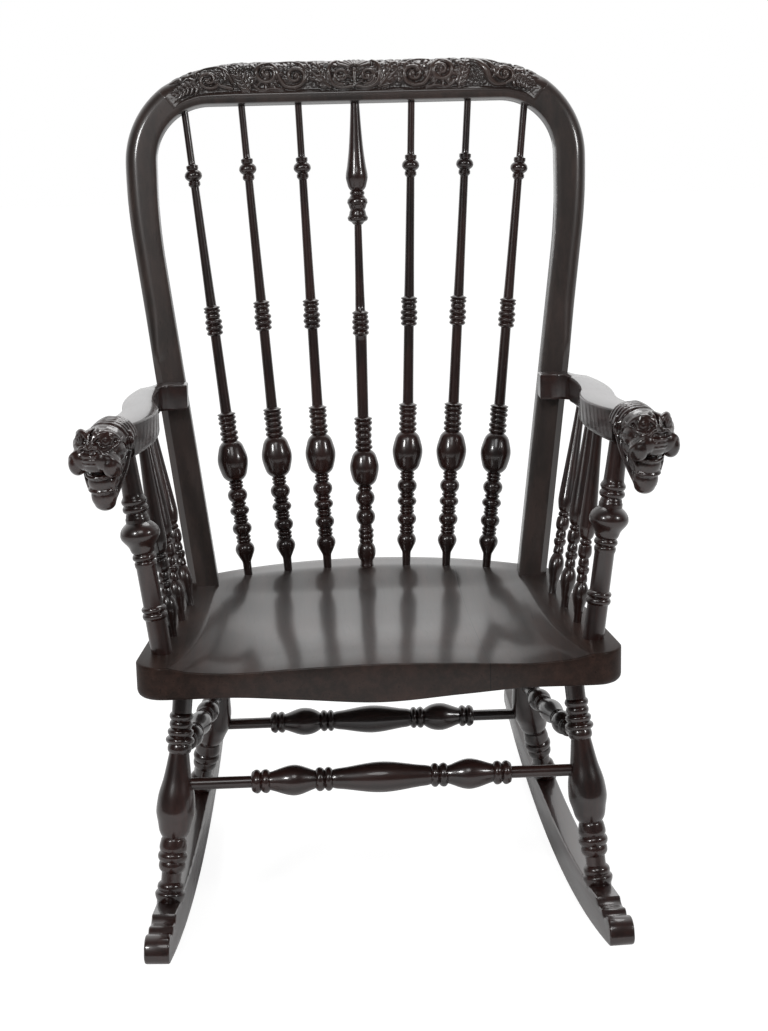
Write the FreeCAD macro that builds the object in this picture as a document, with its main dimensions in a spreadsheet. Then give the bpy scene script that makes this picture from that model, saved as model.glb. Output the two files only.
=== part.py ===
import FreeCAD, Part
import math
import os
from FreeCAD import Placement, Rotation, Vector

# Hoop back rocking chair: a saddled plank seat on four splayed legs and two rockers, a bent hoop
# with seven turned spindles behind it, and two swept arms that end in carved heads.
#
# Two frames are used. The floor frame has its origin on the floor under the middle of the rockers,
# +Z up, +Y to the back and +X to the sitter's left. The bench frame is the one the maker works in:
# its origin is the middle of the seat's front top edge and its XY plane is the flat of the seat,
# which leans back in the floor frame by the seat's tilt.

# Driving dimensions, in millimetres and degrees.
SIZES = (
    # stance
    ("seat_height", 380.3),
    ("seat_tilt", 3.8),
    ("seat_setback", 258.0),
    ("balance_setback", 6.5),
    # rockers
    ("rocker_length", 765.0),
    ("rocker_radius", 1330.0),
    ("rocker_depth", 43.0),
    ("rocker_width", 30.0),
    ("rocker_half_spread", 250.5),
    ("rocker_toe", 3.4),
    ("rocker_nose_length", 74.0),
    ("rocker_tail_depth", 27.0),
    # seat plank
    ("seat_half_width", 291.5),
    ("seat_rear_half_width", 252.0),
    ("seat_depth", 477.0),
    ("seat_shoulder", 372.0),
    ("seat_thickness", 42.0),
    ("seat_corner_radius", 38.0),
    ("seat_rear_corner", 24.0),
    ("apron_depth", 52.0),
    ("apron_run", 58.0),
    ("saddle_depth", 20.0),
    ("saddle_half_width", 252.0),
    ("saddle_waist", 208.0),
    # bent hoop
    ("back_lean", 9.8),
    ("hoop_foot_y", 368.6),
    ("hoop_height", 697.0),
    ("hoop_half_width", 309.2),
    ("hoop_flare", 7.4),
    ("hoop_sweep_radius", 800.0),
    ("hoop_crown_radius", 292.0),
    ("hoop_inner_radius", 72.0),
    ("hoop_thickness", 32.0),
    ("post_width", 38.5),
    ("bow_width", 42.0),
    ("crest_width", 56.0),
    ("hoop_round", 18.0),
    ("hoop_bevel", 9.0),
    ("hoop_stop_height", 300.0),
    ("hoop_stop_length", 66.0),
    ("hoop_stop_tip", 2.0),
    ("hoop_tenon_length", 30.0),
    ("hoop_tenon_width", 27.0),
    ("hoop_tenon_thickness", 21.0),
    # back spindles
    ("back_spindle_radius", 20.7),
    ("back_spindle_foot_pitch", 54.9),
    ("back_spindle_head_pitch", 76.0),
    ("back_spindle_row", 434.0),
    ("back_spindle_row_radius", 500.0),
    # arms
    ("arm_height", 238.6),
    ("arm_rise", 2.06),
    ("arm_thickness", 34.0),
    ("arm_front_drop", 10.0),
    ("arm_lap", 26.0),
    ("arm_length", 328.0),
    ("arm_half_spread", 288.0),
    ("arm_turn_out", 22.0),
    # arm posts and arm spindles
    ("front_post_radius", 24.0),
    ("front_post_inset", 22.5),
    ("front_post_foot_y", 65.0),
    ("arm_spindle_radius", 10.6),
    ("arm_spindle_inset", 25.5),
    ("arm_spindle_pitch", 67.0),
    # carved heads
    ("head_length", 87.0),
    ("head_half_width", 30.0),
    ("head_height", 36.0),
    # legs
    ("leg_radius", 23.8),
    ("front_leg_top_x", 238.5),
    ("front_leg_top_y", 82.5),
    ("front_leg_reach", 258.0),
    ("rear_leg_top_x", 186.0),
    ("rear_leg_top_y", 324.0),
    ("rear_leg_reach", 113.5),
    # stretchers
    ("stretcher_radius", 18.8),
    ("stretcher_rod_radius", 7.4),
    ("side_stretcher_radius", 15.0),
    ("stretcher_inset", 7.0),
    # joinery
    ("fit_gap", 0.1),
    ("overrun", 10.0),
    ("seat_tenon", 22.0),
    ("crest_tenon", 18.0),
    ("arm_tenon", 16.0),
    ("leg_tenon", 24.0),
    ("leg_foot_tenon", 24.0),
    ("leg_foot_tenon_radius", 8.0),
)

# Turned profiles: (height share of the length that shows, radius share of the widest bulb).
BACK_SPINDLE_SHARES = (
    (0.031, 0.27), (0.055, 0.63), (0.080, 0.40), (0.101, 0.63), (0.121, 0.40), (0.140, 0.63),
    (0.159, 0.40), (0.179, 0.65), (0.201, 0.30), (0.228, 0.87), (0.251, 1.00), (0.275, 0.85),
    (0.297, 0.46), (0.306, 0.61), (0.349, 0.60), (0.358, 0.38), (0.526, 0.32), (0.535, 0.55),
    (0.581, 0.54), (0.589, 0.33), (0.846, 0.26), (0.866, 0.54), (0.886, 0.23),
)
CENTRE_SPINDLE_SHARES = (
    (0.010, 0.47), (0.031, 0.61), (0.055, 0.41), (0.073, 0.51), (0.091, 0.37), (0.111, 0.64),
    (0.131, 0.37), (0.153, 0.64), (0.175, 0.30), (0.199, 0.83), (0.221, 0.96), (0.245, 0.80),
    (0.261, 0.40), (0.268, 0.60), (0.326, 0.60), (0.334, 0.37), (0.507, 0.36), (0.514, 0.56),
    (0.556, 0.56), (0.564, 0.31), (0.745, 0.24), (0.764, 0.65), (0.800, 0.60), (0.818, 0.39),
    (0.846, 0.72), (0.873, 0.56), (0.935, 0.37), (0.985, 0.27),
)
ARM_SPINDLE_SHARES = (
    (0.048, 0.47), (0.140, 0.94), (0.216, 0.55), (0.268, 0.76), (0.312, 0.53), (0.360, 0.82),
    (0.404, 0.53), (0.488, 1.00), (0.960, 0.53),
)
FRONT_POST_SHARES = (
    (0.173, 0.52), (0.198, 0.64), (0.238, 0.51), (0.438, 0.50), (0.483, 0.62), (0.535, 0.62),
    (0.565, 0.88), (0.596, 1.00), (0.627, 0.88), (0.661, 0.60), (0.703, 0.50), (0.733, 0.64),
    (0.775, 0.52),
)
LEG_SHARES = (
    (0.014, 0.68), (0.034, 0.79), (0.052, 0.61), (0.068, 0.69), (0.092, 0.52), (0.136, 0.52),
    (0.163, 0.69), (0.205, 0.76), (0.250, 0.70), (0.290, 0.59), (0.356, 0.88), (0.411, 1.00),
    (0.470, 0.95), (0.560, 0.72), (0.672, 0.52), (0.730, 0.74), (0.790, 0.60), (0.826, 0.51),
)
# Stretchers: (distance share of the half length, radius share), from the rod to the middle bulb.
STRETCHER_SHARES = (
    (0.342, 0.44), (0.367, 0.76), (0.437, 0.60), (0.561, 1.00), (0.668, 0.60), (0.713, 0.76),
    (0.754, 0.56), (1.000, 1.00),
)

# Where the stretchers meet the legs, as shares of the leg from its foot.
FRONT_STRETCHER_SHARE = 0.528
REAR_STRETCHER_SHARE = 0.39
SIDE_STRETCHER_FRONT_SHARE = 0.666
SIDE_STRETCHER_REAR_SHARE = 0.56

# Arm seen from above: share of the way from the lap out to the full spread, and share of the arm's
# length forward. Each step is an end, or a middle and an end where the edge is an arc.
ARM_OUTER_SHARES = (
    ((0.794, -0.025), (1.15, 0.112)),
    ((1.36, 0.356), (1.33, 0.620)),
    ((1.35, 0.810), (1.66, 0.976)),
)
ARM_INNER_SHARES = (
    ((0.862, 1.028),),
    ((0.46, 0.786), (0.607, 0.527)),
    ((0.70, 0.330), (0.66, 0.160)),
    ((0.54, 0.072), (0.30, 0.061)),
    ((0.0, 0.061),),
)
ARM_START_SHARE = (0.0, -0.061)
# Places along the arm where its underside starts to deepen, and halfway down.
ARM_DEEPENING_SHARES = (0.567, 0.81, 0.26)
# Tops of the front post and of the three spindles behind it: out and forward.
ARM_SUPPORT_SHARES = ((1.13, 0.933), (0.86, 0.720), (0.96, 0.430), (0.98, 0.145))

# Carved head: side view as shares of its length forward and its height up from the arm's middle.
HEAD_SIDE_SHARES = (
    (0.0, -0.61), (0.0, 0.61), (0.07, 0.78), (0.23, 0.95), (0.40, 1.0), (0.56, 0.94),
    (0.67, 0.69), (0.88, 0.47), (1.0, 0.22), (1.0, -0.25), (0.93, -0.56), (0.70, -0.61),
    (0.58, -0.90), (0.75, -1.17), (0.77, -1.52), (0.68, -1.78), (0.50, -1.67), (0.33, -1.39),
    (0.19, -0.94),
)
# The same seen from above (half width share, length share) and from the front (half width share,
# height share), one half of each.
HEAD_PLAN_SHARES = ((0.76, 0.0), (1.0, 0.25), (0.92, 0.53), (0.82, 0.90), (0.58, 1.0))
HEAD_FRONT_SHARES = (
    (0.33, -1.80), (0.60, -1.30), (0.66, -0.70), (0.97, -0.55), (1.0, 0.28), (0.90, 0.72),
    (0.47, 1.0),
)

# Saddle: rows from the front edge to the back rim, each a share of the way back and the depth
# shares at the places across, from the middle to just outside the ridge.
SADDLE_ACROSS_SHARES = (0.0, 0.35, 0.70, 0.90, 1.0, 1.08)
SADDLE_ROW_SHARES = (
    (-0.05, (0.13, 0.24, 0.42, 0.28, 0.02, -0.20)),
    (0.20, (0.50, 0.58, 0.68, 0.36, 0.02, -0.20)),
    (0.55, (1.00, 1.00, 0.85, 0.34, 0.02, -0.20)),
    (0.85, (0.80, 0.76, 0.56, 0.25, 0.02, -0.20)),
    (1.00, (0.02, 0.02, 0.02, 0.00, -0.05, -0.25)),
    (1.05, (-0.35, -0.35, -0.35, -0.35, -0.35, -0.35)),
)
SADDLE_ALONG_COUNT = 11
SADDLE_ACROSS_COUNT = 16
SADDLE_BACK_SHARE = 0.895
SADDLE_BACK_CORNER_SHARE = 0.795
SADDLE_FLARE_SHARE = 0.25

# Serpentine lower edge of the apron from the right-hand corner: (place across, depth).
APRON_SHARES = (
    ((1.1, 0.93),), ((0.64, 0.765), (0.34, 0.87)), ((0.0, 1.0), (-0.34, 0.87)),
    ((-0.64, 0.765), (-1.1, 0.93)),
)
# Seat's rear corner as shares of its radius (in from the side, back from the shoulder), and the bow
# of the rear edge as shares of the way out and of the way back to the corner.
REAR_CORNER_SHARES = ((0.15, 0.75), (0.80, 1.30))
REAR_BOW_SHARES = (0.5, 0.235)

# Rocker ends: the tail in shares of its own depth (in from the end, up), the nose in shares of its
# length (back from the end) and of the rocker's depth.
ROCKER_TAIL_SHARES = (0.45, ((0.05, 0.45), (0.45, 1.0)))
ROCKER_NOSE_SHARES = (
    ((0.93, 0.86), (0.84, 0.80)), ((0.70, 0.80),), ((0.63, 0.83), (0.57, 0.76)),
    ((0.48, 0.65), (0.38, 0.70)), ((0.084, 0.66), (0.008, 0.36)), ((0.042, 0.10), (0.19, 0.0)),
)
# Where the rocker's back starts to thin towards the tail, as a share of the way to its end.
ROCKER_THINNING_SHARE = 0.25

# Height of the hoop's widest place as a share of its whole height, and the radius of its sides above
# that place as a share of the rise from there to the crown.
HOOP_WIDEST_SHARE = 0.811
HOOP_SIDE_SHARE = 0.95

# Flats round a turned piece and round the hoop's worked edge.
TURNING_SIDE_COUNT = 10
ROUND_FLAT_COUNT = 3

UP = Vector(0, 0, 1)
ACROSS = Vector(1, 0, 0)
BACK = Vector(0, 1, 0)
SIDES = (("left", -1), ("right", 1))

doc = FreeCAD.newDocument("HoopBackRocker")
sheet = doc.addObject("Spreadsheet::Sheet", "sizes")
for row, (alias, value) in enumerate(SIZES, start=1):
    sheet.set(f"A{row}", alias)
    sheet.set(f"B{row}", str(value))
    sheet.setAlias(f"B{row}", alias)
doc.recompute()

pieces = {}


def size(alias):
    """Value of a named size."""
    return float(sheet.get(alias))


def cell(alias):
    """Expression that reads a named size."""
    return f"sizes.{alias}"


def shift(point, direction, distance):
    """Point moved along a direction."""
    return point + Vector(direction).normalize() * distance


# The chair's own placements.
floor_from_bench = Placement(
    Vector(0, -size("seat_setback"), size("seat_height")),
    Rotation(ACROSS, -size("seat_tilt")),
)
bench_from_floor = floor_from_bench.inverse()
bench_from_hoop = Placement(Vector(0, size("hoop_foot_y"), 0), Rotation(ACROSS, -size("back_lean")))


def finish_piece(label, feature, placement=floor_from_bench):
    """Name a finished sub-part and stand it in the floor frame."""
    feature.Label = label
    feature.Placement = placement
    pieces[label] = feature


def padded(name, role, start, steps, length, midplane=True):
    """Body padded from a closed outline on one of its origin planes.

    Each step of the outline is (end,) for a line or (middle, end) for an arc; length is an
    expression.
    """
    body = doc.addObject("PartDesign::Body", name)
    sketch = body.newObject("Sketcher::SketchObject", name + "_outline")
    plane = [item for item in body.Origin.OriginFeatures if item.Role == role][0]
    sketch.AttachmentSupport = [(plane, "")]
    sketch.MapMode = "FlatFace"
    here = start
    for step in steps:
        if len(step) == 1:
            edge = Part.LineSegment(Vector(*here, 0), Vector(*step[0], 0))
        else:
            edge = Part.Arc(Vector(*here, 0), Vector(*step[0], 0), Vector(*step[1], 0))
        sketch.addGeometry(edge, False)
        here = step[-1]
    pad = body.newObject("PartDesign::Pad", name + "_pad")
    pad.Profile = sketch
    pad.Midplane = midplane
    pad.setExpression("Length", length)
    return body


def polygon(points):
    """Start and straight steps round a closed polygon."""
    return points[0], [(point,) for point in list(points[1:]) + [points[0]]]


def fuse_all(name, shapes):
    """One tool out of several overlapping or separate ones."""
    fused = doc.addObject("Part::MultiFuse", name)
    fused.Shapes = shapes
    return fused


def cut_piece(name, base, tools):
    """Base with every tool taken away."""
    result = doc.addObject("Part::Cut", name)
    result.Base = base
    result.Tool = fuse_all(name + "_waste", tools)
    return result


def common(name, shapes):
    """What several bodies share."""
    shared = doc.addObject("Part::MultiCommon", name)
    shared.Shapes = shapes
    return shared


def faceted(rings):
    """Solid of flat facets through closed rings of corners whose sides run parallel."""
    faces = [Part.Face(Part.makePolygon(ring + ring[:1])) for ring in (rings[0], rings[-1])]
    for below, above in zip(rings, rings[1:]):
        for index, corner in enumerate(below):
            after = (index + 1) % len(below)
            loop = [corner, below[after], above[after], above[index], corner]
            faces.append(Part.Face(Part.makePolygon(loop)))
    solid = Part.Solid(Part.makeShell(faces))
    if solid.Volume < 0:
        solid.reverse()
    return solid


def scaled(shares, radius):
    """Turned pattern with its radii in proportion to a named radius."""
    return [(height, share * size(radius)) for height, share in shares]


def turned(name, pattern, foot, head, foot_tenon=None, head_tenon=None):
    """Lathe-turned body on the line from foot to head, with its tenons beyond both.

    Its flats touch the turned circles of the pattern, which lists height shares and radii. The local
    origin is the end of the lower tenon.
    """
    length = (head - foot).Length
    below = size(foot_tenon) if foot_tenon else 0
    above = size(head_tenon) if head_tenon else 0
    levels = [(0, pattern[0][1])]
    levels += [(below + height * length, radius) for height, radius in pattern if 0 < height < 1]
    levels.append((below + length + above, pattern[-1][1]))
    reach = 1 / math.cos(math.pi / TURNING_SIDE_COUNT)
    turns = [2 * math.pi * index / TURNING_SIDE_COUNT for index in range(TURNING_SIDE_COUNT)]
    feature = doc.addObject("Part::Feature", name)
    feature.Shape = faceted([
        [Vector(radius * reach * math.cos(turn), radius * reach * math.sin(turn), height)
         for turn in turns] for height, radius in levels])
    feature.Placement = Placement(shift(foot, head - foot, -below), Rotation(UP, head - foot))
    return feature


def prism(name, line, radius, start, length):
    """Plug or socket in line with a turned piece, with the same flats.

    line is the piece's foot and head, radius and length are expressions and start is the place along
    the line from its foot.
    """
    foot, head = line
    feature = doc.addObject("Part::Prism", name)
    feature.Polygon = TURNING_SIDE_COUNT
    feature.setExpression("Circumradius", f"({radius}) / cos(180 / {TURNING_SIDE_COUNT})")
    feature.setExpression("Height", length)
    feature.Placement = Placement(shift(foot, head - foot, start), Rotation(UP, head - foot))
    return feature


def foot_socket(name, line, radius, depth):
    """Socket round the lower tenon of a turned piece; radius is an expression, depth a named size."""
    return prism(name, line, f"{radius} + sizes.fit_gap", -size(depth) - size("fit_gap"),
                 f"{cell(depth)} + sizes.fit_gap + sizes.overrun")


def head_socket(name, line, radius, depth):
    """Socket round the upper tenon of a turned piece; radius is an expression, depth a named size."""
    foot, head = line
    return prism(name, line, f"{radius} + sizes.fit_gap", (head - foot).Length - size("overrun"),
                 f"{cell(depth)} + sizes.fit_gap + sizes.overrun")


# Rocker geometry, in its own upright frame: the origin is the point that touches the floor and Y
# runs back along the rocker.
def rocker_point(along, height):
    """Point at a height above the rocker's lower edge, measured towards the arc's centre."""
    radius = size("rocker_radius")
    angle = math.asin(along / radius)
    return (radius - height) * math.sin(angle), radius - (radius - height) * math.cos(angle)


def rocker_frame(side):
    """Bench placement of the right (1) or left (-1) rocker."""
    middle = Vector(side * size("rocker_half_spread"), size("balance_setback"), 0)
    on_floor = Placement(middle, Rotation(UP, side * size("rocker_toe")))
    return bench_from_floor.multiply(on_floor)


def make_rocker(label):
    """Sawn runner with a stepped, rounded nose and a thinner rounded tail."""
    toe_cosine = math.cos(math.radians(size("rocker_toe")))
    front = -(size("rocker_length") / 2 + size("balance_setback")) / toe_cosine
    back = (size("rocker_length") / 2 - size("balance_setback")) / toe_cosine
    depth, tail, nose = size("rocker_depth"), size("rocker_tail_depth"), size("rocker_nose_length")

    def at_nose(point):
        return rocker_point(front + nose * point[0], depth * point[1])

    def at_tail(point):
        return rocker_point(back - tail * point[0], tail * point[1])

    heel, tip = ROCKER_TAIL_SHARES
    start = at_nose(ROCKER_NOSE_SHARES[-1][-1])
    steps = [(rocker_point(0, 0), at_tail((heel, 0))), tuple(at_tail(point) for point in tip)]
    steps.append((rocker_point(back * ROCKER_THINNING_SHARE, depth), at_nose((1, 1))))
    steps += [tuple(at_nose(point) for point in step) for step in ROCKER_NOSE_SHARES]
    return padded(label, "YZ_Plane", start, steps, cell("rocker_width"))


# Lines along which the legs, posts and spindles stand, in the bench frame.
LEGS = {
    "front": ("front_leg_top_x", "front_leg_top_y", "front_leg_reach", -1),
    "rear": ("rear_leg_top_x", "rear_leg_top_y", "rear_leg_reach", 1),
}


def leg_line(side, which):
    """Foot on the rocker's top and head at the seat's underside."""
    top_x, top_y, reach, way = LEGS[which]
    top = Vector(side * size(top_x), size(top_y), -size("seat_thickness"))
    along, height = rocker_point(way * size(reach), size("rocker_depth"))
    return rocker_frame(side).multVec(Vector(0, along, height)), top


def leg_stand(side, which):
    """Frame on the rocker's top where a leg stands, its Z square to the curve."""
    reach = LEGS[which][3] * size(LEGS[which][2])
    place = Vector(0, *rocker_point(reach, size("rocker_depth") + 2 * size("fit_gap")))
    tilt = math.degrees(math.asin(reach / size("rocker_radius")))
    return rocker_frame(side).multiply(Placement(place, Rotation(ACROSS, tilt)))


def on_leg(side, which, share):
    """Point on a leg's line, as a share from its foot."""
    foot, top = leg_line(side, which)
    return foot + (top - foot) * share


def hoop_edge(width_from_outside, along):
    """Distance from the middle to a line of the hoop's straight side."""
    flare, sweep = math.radians(size("hoop_flare")), size("hoop_sweep_radius")
    below_sweep = HOOP_WIDEST_SHARE * size("hoop_height") - sweep * math.sin(flare) - along
    outside = size("hoop_half_width") - sweep * (1 - math.cos(flare))
    return outside - math.tan(flare) * below_sweep - width_from_outside


def crest_underside(x):
    """Height along the hoop of its inner edge above a place across."""
    radius = size("hoop_inner_radius")
    straight = size("hoop_half_width") - size("bow_width") - radius
    beyond = max(abs(x) - straight, 0)
    drop = radius - math.sqrt(radius ** 2 - beyond ** 2)
    return size("hoop_height") - size("crest_width") - drop


def back_spindle_line(step):
    """Foot on the seat's rim and head under the crest, counted from the middle spindle."""
    x = step * size("back_spindle_foot_pitch")
    foot = Vector(x, size("back_spindle_row") - x ** 2 / (2 * size("back_spindle_row_radius")), 0)
    x = step * size("back_spindle_head_pitch")
    return foot, bench_from_hoop.multVec(Vector(x, 0, crest_underside(x)))


# The arm starts with a block in front of the hoop's post, flush with the post's inner edge.
lap_height = size("arm_height") / math.cos(math.radians(size("back_lean")))
lap_inside = hoop_edge(size("post_width"), lap_height)
lap_front = bench_from_hoop.multVec(Vector(0, -size("hoop_thickness") / 2, lap_height)).y
arm_root = lap_front - size("arm_lap") + ARM_INNER_SHARES[-1][-1][1] * size("arm_length")


def arm_point(side, shares):
    """Place in the arm's plan: share out from the lap and share forward along the arm."""
    x = lap_inside + shares[0] * (size("arm_half_spread") - lap_inside)
    return side * x, arm_root - shares[1] * size("arm_length")


def arm_underside(y):
    """Height of the arm's plain underside."""
    return size("arm_height") + math.tan(math.radians(size("arm_rise"))) * (arm_root - y)


def arm_support(side, index):
    """Foot on the seat's ledge and head under the arm: the front post, then the spindles."""
    y = size("front_post_foot_y") + index * size("arm_spindle_pitch")
    taper = (size("seat_half_width") - size("seat_rear_half_width")) / size("seat_shoulder")
    inset = size("arm_spindle_inset") if index else size("front_post_inset")
    foot = Vector(side * (size("seat_half_width") - taper * y - inset), y, 0)
    x, y = arm_point(side, ARM_SUPPORT_SHARES[index])
    drop = 0 if index else size("arm_front_drop")
    return foot, Vector(x, y, arm_underside(y) - drop)


def arm_support_pattern(index):
    """Turned pattern and the named radius it is scaled to."""
    if index == 0:
        return FRONT_POST_SHARES, "front_post_radius"
    return ARM_SPINDLE_SHARES, "arm_spindle_radius"


# Stretchers run between two points on the legs and stop short of the legs' middle.
stretchers = {}
for label, start, end, radius in (
    ("front_stretcher", (-1, "front", FRONT_STRETCHER_SHARE), (1, "front", FRONT_STRETCHER_SHARE),
     "stretcher_radius"),
    ("rear_stretcher", (-1, "rear", REAR_STRETCHER_SHARE), (1, "rear", REAR_STRETCHER_SHARE),
     "stretcher_radius"),
    ("left_stretcher", (-1, "front", SIDE_STRETCHER_FRONT_SHARE),
     (-1, "rear", SIDE_STRETCHER_REAR_SHARE), "side_stretcher_radius"),
    ("right_stretcher", (1, "front", SIDE_STRETCHER_FRONT_SHARE),
     (1, "rear", SIDE_STRETCHER_REAR_SHARE), "side_stretcher_radius"),
):
    ends = on_leg(*start), on_leg(*end)
    inset = size("stretcher_inset")
    line = shift(ends[0], ends[1] - ends[0], inset), shift(ends[1], ends[0] - ends[1], inset)
    stretchers[label] = (line, (start[:2], end[:2]))
    half = [(share / 2, spread) for share, spread in scaled(STRETCHER_SHARES, radius)]
    mirrored = [(1 - share, spread) for share, spread in reversed(half[:-1])]
    rod = size("stretcher_rod_radius")
    body = turned(label, [(0, rod)] + half + mirrored + [(1, rod)], *line)
    finish_piece(label, body, floor_from_bench.multiply(body.Placement))

# Rockers, with a socket for each leg.
for name, side in SIDES:
    runner = make_rocker(f"{name}_rocker_blank")
    runner.Placement = rocker_frame(side)
    sockets = [foot_socket(f"{name}_{which}_rocker_socket", leg_line(side, which),
                           cell("leg_foot_tenon_radius"), "leg_foot_tenon") for which in LEGS]
    finish_piece(f"{name}_rocker", cut_piece(f"{name}_rocker", runner, sockets))

# Legs: the foot is cut to stand on the rocker round a slimmer tenon.
for name, side in SIDES:
    for which in LEGS:
        label = f"{name}_{which}_leg"
        line = leg_line(side, which)
        blank = turned(label + "_blank", scaled(LEG_SHARES, "leg_radius"), *line, "overrun",
                       "leg_tenon")
        above = doc.addObject("Part::Box", label + "_above_rocker")
        for edge in ("Length", "Width", "Height"):
            above.setExpression(edge, cell("rocker_length"))
        corner = Vector(-size("rocker_length") / 2, -size("rocker_length") / 2, 0)
        above.Placement = leg_stand(side, which).multiply(Placement(corner, Rotation()))
        tenon = prism(label + "_tenon", line, cell("leg_foot_tenon_radius"),
                      -size("leg_foot_tenon"), "2 * sizes.leg_foot_tenon")
        whole = fuse_all(label + "_whole", [common(label + "_trimmed", [blank, above]), tenon])
        sockets = []
        for other, (rail, ends) in stretchers.items():
            if (side, which) in ends:
                reach = size("leg_radius") + size("overrun")
                start = -size("fit_gap")
                if ends[1] == (side, which):
                    start = (rail[1] - rail[0]).Length - reach
                sockets.append(prism(f"{label}_{other}_socket", rail,
                                     "sizes.stretcher_rod_radius + sizes.fit_gap", start,
                                     "sizes.leg_radius + sizes.overrun + sizes.fit_gap"))
        finish_piece(label, cut_piece(label, whole, sockets))


# Seat plank.
def seat_outline():
    """Outline seen from above: rounded front corners, tapering sides and a bowed back."""
    half, rear, depth = size("seat_half_width"), size("seat_rear_half_width"), size("seat_depth")
    corner, shoulder = size("seat_corner_radius"), size("seat_shoulder")
    soft = size("seat_rear_corner")
    clip = corner * (1 - math.sqrt(0.5))
    turn, end = [(rear - soft * inward, shoulder + soft * along)
                 for inward, along in REAR_CORNER_SHARES]
    bow = (end[0] * REAR_BOW_SHARES[0], depth - (depth - end[1]) * REAR_BOW_SHARES[1])
    right = [((half - corner, 0),), ((half - clip, clip), (half, corner)), ((rear, shoulder),),
             (turn, end), (bow, (0, depth))]
    return (corner - half, 0), right + mirrored_path((corner - half, 0), right)[:-1]


def mirrored_path(start, steps):
    """The left-hand half of a symmetrical outline, walked back from its top to its start."""
    ends = [start] + [step[-1] for step in steps]
    back = []
    for index in range(len(steps) - 1, -1, -1):
        end = (-ends[index][0], ends[index][1])
        step = steps[index]
        back.append((end,) if len(step) == 1 else ((-step[0][0], step[0][1]), end))
    return back


def saddle_waste():
    """Block that leaves the saddle: flat facets below, through places on a smooth surface."""
    front, back = size("saddle_half_width"), size("saddle_waist")
    depth = size("seat_depth")
    across = [-share for share in reversed(SADDLE_ACROSS_SHARES[1:])] + list(SADDLE_ACROSS_SHARES)
    rows = []
    for along, depth_shares in SADDLE_ROW_SHARES:
        width = back + (front - back) * math.exp(-max(along, 0) / SADDLE_FLARE_SHARE)
        dips = list(reversed(depth_shares[1:])) + list(depth_shares)
        row = []
        for share, dip in zip(across, dips):
            bowed = (SADDLE_BACK_SHARE - SADDLE_BACK_CORNER_SHARE) * share ** 2
            y = along * depth * (SADDLE_BACK_SHARE - bowed)
            row.append(Vector(share * width, y, -dip * size("saddle_depth")))
        rows.append(row)
    surface = Part.BSplineSurface()
    surface.interpolate(rows)
    u_low, u_high, v_low, v_high = surface.bounds()
    grid = [[surface.value(u_low + (u_high - u_low) * i / SADDLE_ALONG_COUNT,
                           v_low + (v_high - v_low) * j / SADDLE_ACROSS_COUNT)
             for j in range(SADDLE_ACROSS_COUNT + 1)] for i in range(SADDLE_ALONG_COUNT + 1)]
    corners = []
    for near, far in zip(grid, grid[1:]):
        for j in range(SADDLE_ACROSS_COUNT):
            corners += [(near[j], near[j + 1], far[j + 1]), (near[j], far[j + 1], far[j])]
    rim = grid[0] + [row[-1] for row in grid[1:]] + grid[-1][-2::-1]
    rim += [row[0] for row in grid[-2:0:-1]]
    raised = [Vector(point.x, point.y, size("overrun")) for point in rim]
    corners.append(raised)
    for j, point in enumerate(rim):
        after = (j + 1) % len(rim)
        corners.append((point, rim[after], raised[after], raised[j]))
    faces = [Part.Face(Part.makePolygon(list(ring) + [ring[0]])) for ring in corners]
    solid = Part.Solid(Part.makeShell(faces))
    if solid.Volume < 0:
        solid.reverse()
    return solid


plank = padded("seat_plank", "XY_Plane", *seat_outline(), cell("apron_depth"), False)
plank.Placement.Base = UP * -size("apron_depth")

relief = doc.addObject("Part::Box", "underside_relief")
relief.setExpression("Length", "2 * sizes.seat_half_width + 2 * sizes.overrun")
relief.setExpression("Width", cell("seat_depth"))
relief.setExpression("Height", "sizes.apron_depth - sizes.seat_thickness + sizes.overrun")
relief.Placement.Base = Vector(-size("seat_half_width") - size("overrun"), size("apron_run"),
                               -size("apron_depth") - size("overrun"))

saddle = doc.addObject("Part::Feature", "saddle")
saddle.Shape = saddle_waste()

apron_low = -size("apron_depth") - size("overrun")
apron_edge = [tuple((x * size("seat_half_width"), -drop * size("apron_depth")) for x, drop in step)
              for step in APRON_SHARES]
apron_start = (apron_edge[0][0][0], apron_low)
apron_path = apron_edge + [((-apron_start[0], apron_low),), (apron_start,)]
apron_cut = padded("apron_cut", "XZ_Plane", apron_start, apron_path,
                   "2 * sizes.apron_run + 2 * sizes.overrun")

seat_tools = [relief, saddle, apron_cut]
spindle_foot = f"sizes.back_spindle_radius * {BACK_SPINDLE_SHARES[0][1]}"
centre_foot = f"sizes.back_spindle_radius * {CENTRE_SPINDLE_SHARES[0][1]}"
for step in range(-3, 4):
    seat_tools.append(foot_socket(f"seat_spindle_socket_{step + 4}", back_spindle_line(step),
                                  spindle_foot if step else centre_foot, "seat_tenon"))
for name, side in SIDES:
    for index in range(len(ARM_SUPPORT_SHARES)):
        shares, radius = arm_support_pattern(index)
        seat_tools.append(foot_socket(f"seat_{name}_arm_socket_{index}", arm_support(side, index),
                                      f"{cell(radius)} * {shares[0][1]}", "seat_tenon"))
    for which in LEGS:
        seat_tools.append(head_socket(f"seat_{name}_{which}_leg_socket", leg_line(side, which),
                                      f"sizes.leg_radius * {LEG_SHARES[-1][1]}", "leg_tenon"))


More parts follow.
